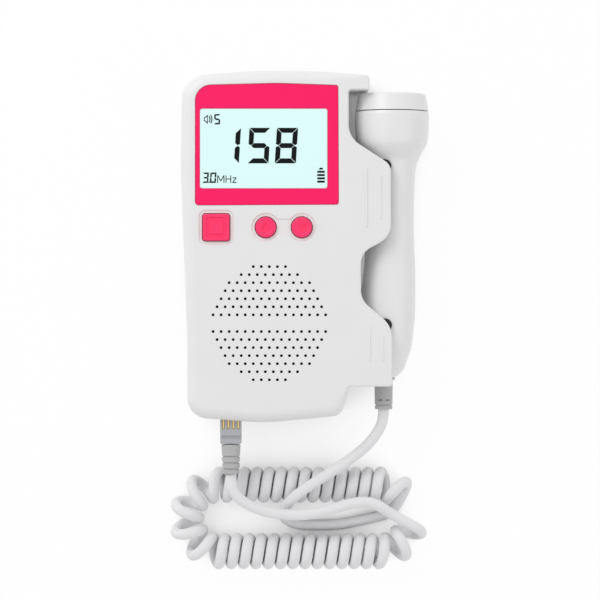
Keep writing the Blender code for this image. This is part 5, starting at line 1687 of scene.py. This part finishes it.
class MONITOR_OT_pads(MonitorPiece, bpy.types.Operator):
    """Builds the two rubber pads under the cradle's plates"""

    bl_idname = "monitor.pads"
    bl_label = "Rubber Pads"

    def execute(self, context):
        make_pads(bpy.data.materials)
        return {"FINISHED"}


class MONITOR_OT_lead(MonitorPiece, bpy.types.Operator):
    """Builds the plug, its boot, the strain relief and the curly lead between them"""

    bl_idname = "monitor.lead"
    bl_label = "Plug and Curly Lead"

    def execute(self, context):
        pieces = make_plug(bpy.data.materials) + [make_relief(bpy.data.materials)]
        make_lead(bpy.data.materials)
        return {"FINISHED"}


class MONITOR_OT_screws(MonitorPiece, bpy.types.Operator):
    """Copies one countersunk screw onto the four screw places"""

    bl_idname = "monitor.screws"
    bl_label = "Screws"

    def execute(self, context):
        steel = bpy.data.materials["steel"]
        nodes = [f"housing_screw_{number}" for number in range(1, 5)]
        placed(screws_made(steel), steel, "steel", "monitor", *nodes)
        return {"FINISHED"}


class MONITOR_OT_inner(MonitorPiece, bpy.types.Operator):
    """Gives the inner pieces their finishes"""

    bl_idname = "monitor.inner"
    bl_label = "Inner Pieces"

    def execute(self, context):
        dress_inner(bpy.data.materials)
        return {"FINISHED"}


class MONITOR_OT_finishes(MonitorPiece, bpy.types.Operator):
    """Writes the finishes that all pieces use"""

    bl_idname = "monitor.finishes"
    bl_label = "Finishes"

    def execute(self, context):
        make_finishes()
        return {"FINISHED"}


class MONITOR_OT_studio(MonitorPiece, bpy.types.Operator):
    """Sets up the floor, the lamps, the even light and the camera"""

    bl_idname = "monitor.studio"
    bl_label = "Studio"

    def execute(self, context):
        studio = context.scene.monitor_studio
        make_floor(studio)
        make_world(studio)
        add_lamp("key", (-0.50, 0.60, 0.70), (0, -0.02, 0), 0.55, studio.lamp)
        add_lamp("fill", (0.6, -0.3, 0.7), (0, -0.02, 0), 0.8, studio.lamp * 0.3)
        make_camera(studio)
        context.scene.view_settings.view_transform = "Standard"
        return {"FINISHED"}


OPERATORS = (
    MONITOR_OT_finishes,
    MONITOR_OT_studio,
    MONITOR_OT_lead,
    MONITOR_OT_shells,
    MONITOR_OT_face,
    MONITOR_OT_buttons,
    MONITOR_OT_probe,
    MONITOR_OT_pads,
    MONITOR_OT_screws,
    MONITOR_OT_inner,
)


class MONITOR_PT_looks(bpy.types.Panel):
    """Lists the steps that dress the monitor"""

    bl_idname = "MONITOR_PT_looks"
    bl_label = "Heartbeat Monitor"
    bl_space_type = "VIEW_3D"
    bl_region_type = "UI"
    bl_category = "Monitor"

    def draw(self, context):
        column = self.layout.column(align=True)
        for operator in OPERATORS:
            column.operator(operator.bl_idname)
        for name in SETTINGS:
            group = getattr(context.scene, name)
            box = self.layout.box()
            for key in group.bl_rna.properties.keys():
                if key not in ("rna_type", "name"):
                    box.prop(group, key)


SETTINGS = {
    "monitor_shells": ShellSizes,
    "monitor_face": FaceSizes,
    "monitor_leads": LeadSizes,
    "monitor_colours": FinishColours,
    "monitor_studio": StudioSettings,
}


def register():
    for name, group in SETTINGS.items():
        bpy.utils.register_class(group)
        setattr(bpy.types.Scene, name, PointerProperty(type=group))
    for operator in OPERATORS:
        bpy.utils.register_class(operator)
    bpy.utils.register_class(MONITOR_PT_looks)


def unregister():
    bpy.utils.unregister_class(MONITOR_PT_looks)
    for operator in reversed(OPERATORS):
        bpy.utils.unregister_class(operator)
    for name, group in SETTINGS.items():
        delattr(bpy.types.Scene, name)
        bpy.utils.unregister_class(group)


def main():
    register()
    bpy.ops.monitor.finishes()
    bpy.ops.monitor.studio()
    bpy.ops.monitor.lead()
    bpy.ops.monitor.shells()
    bpy.ops.monitor.face()
    bpy.ops.monitor.buttons()
    bpy.ops.monitor.probe()
    bpy.ops.monitor.pads()
    bpy.ops.monitor.screws()
    bpy.ops.monitor.inner()


if __name__ == "__main__":
    main()
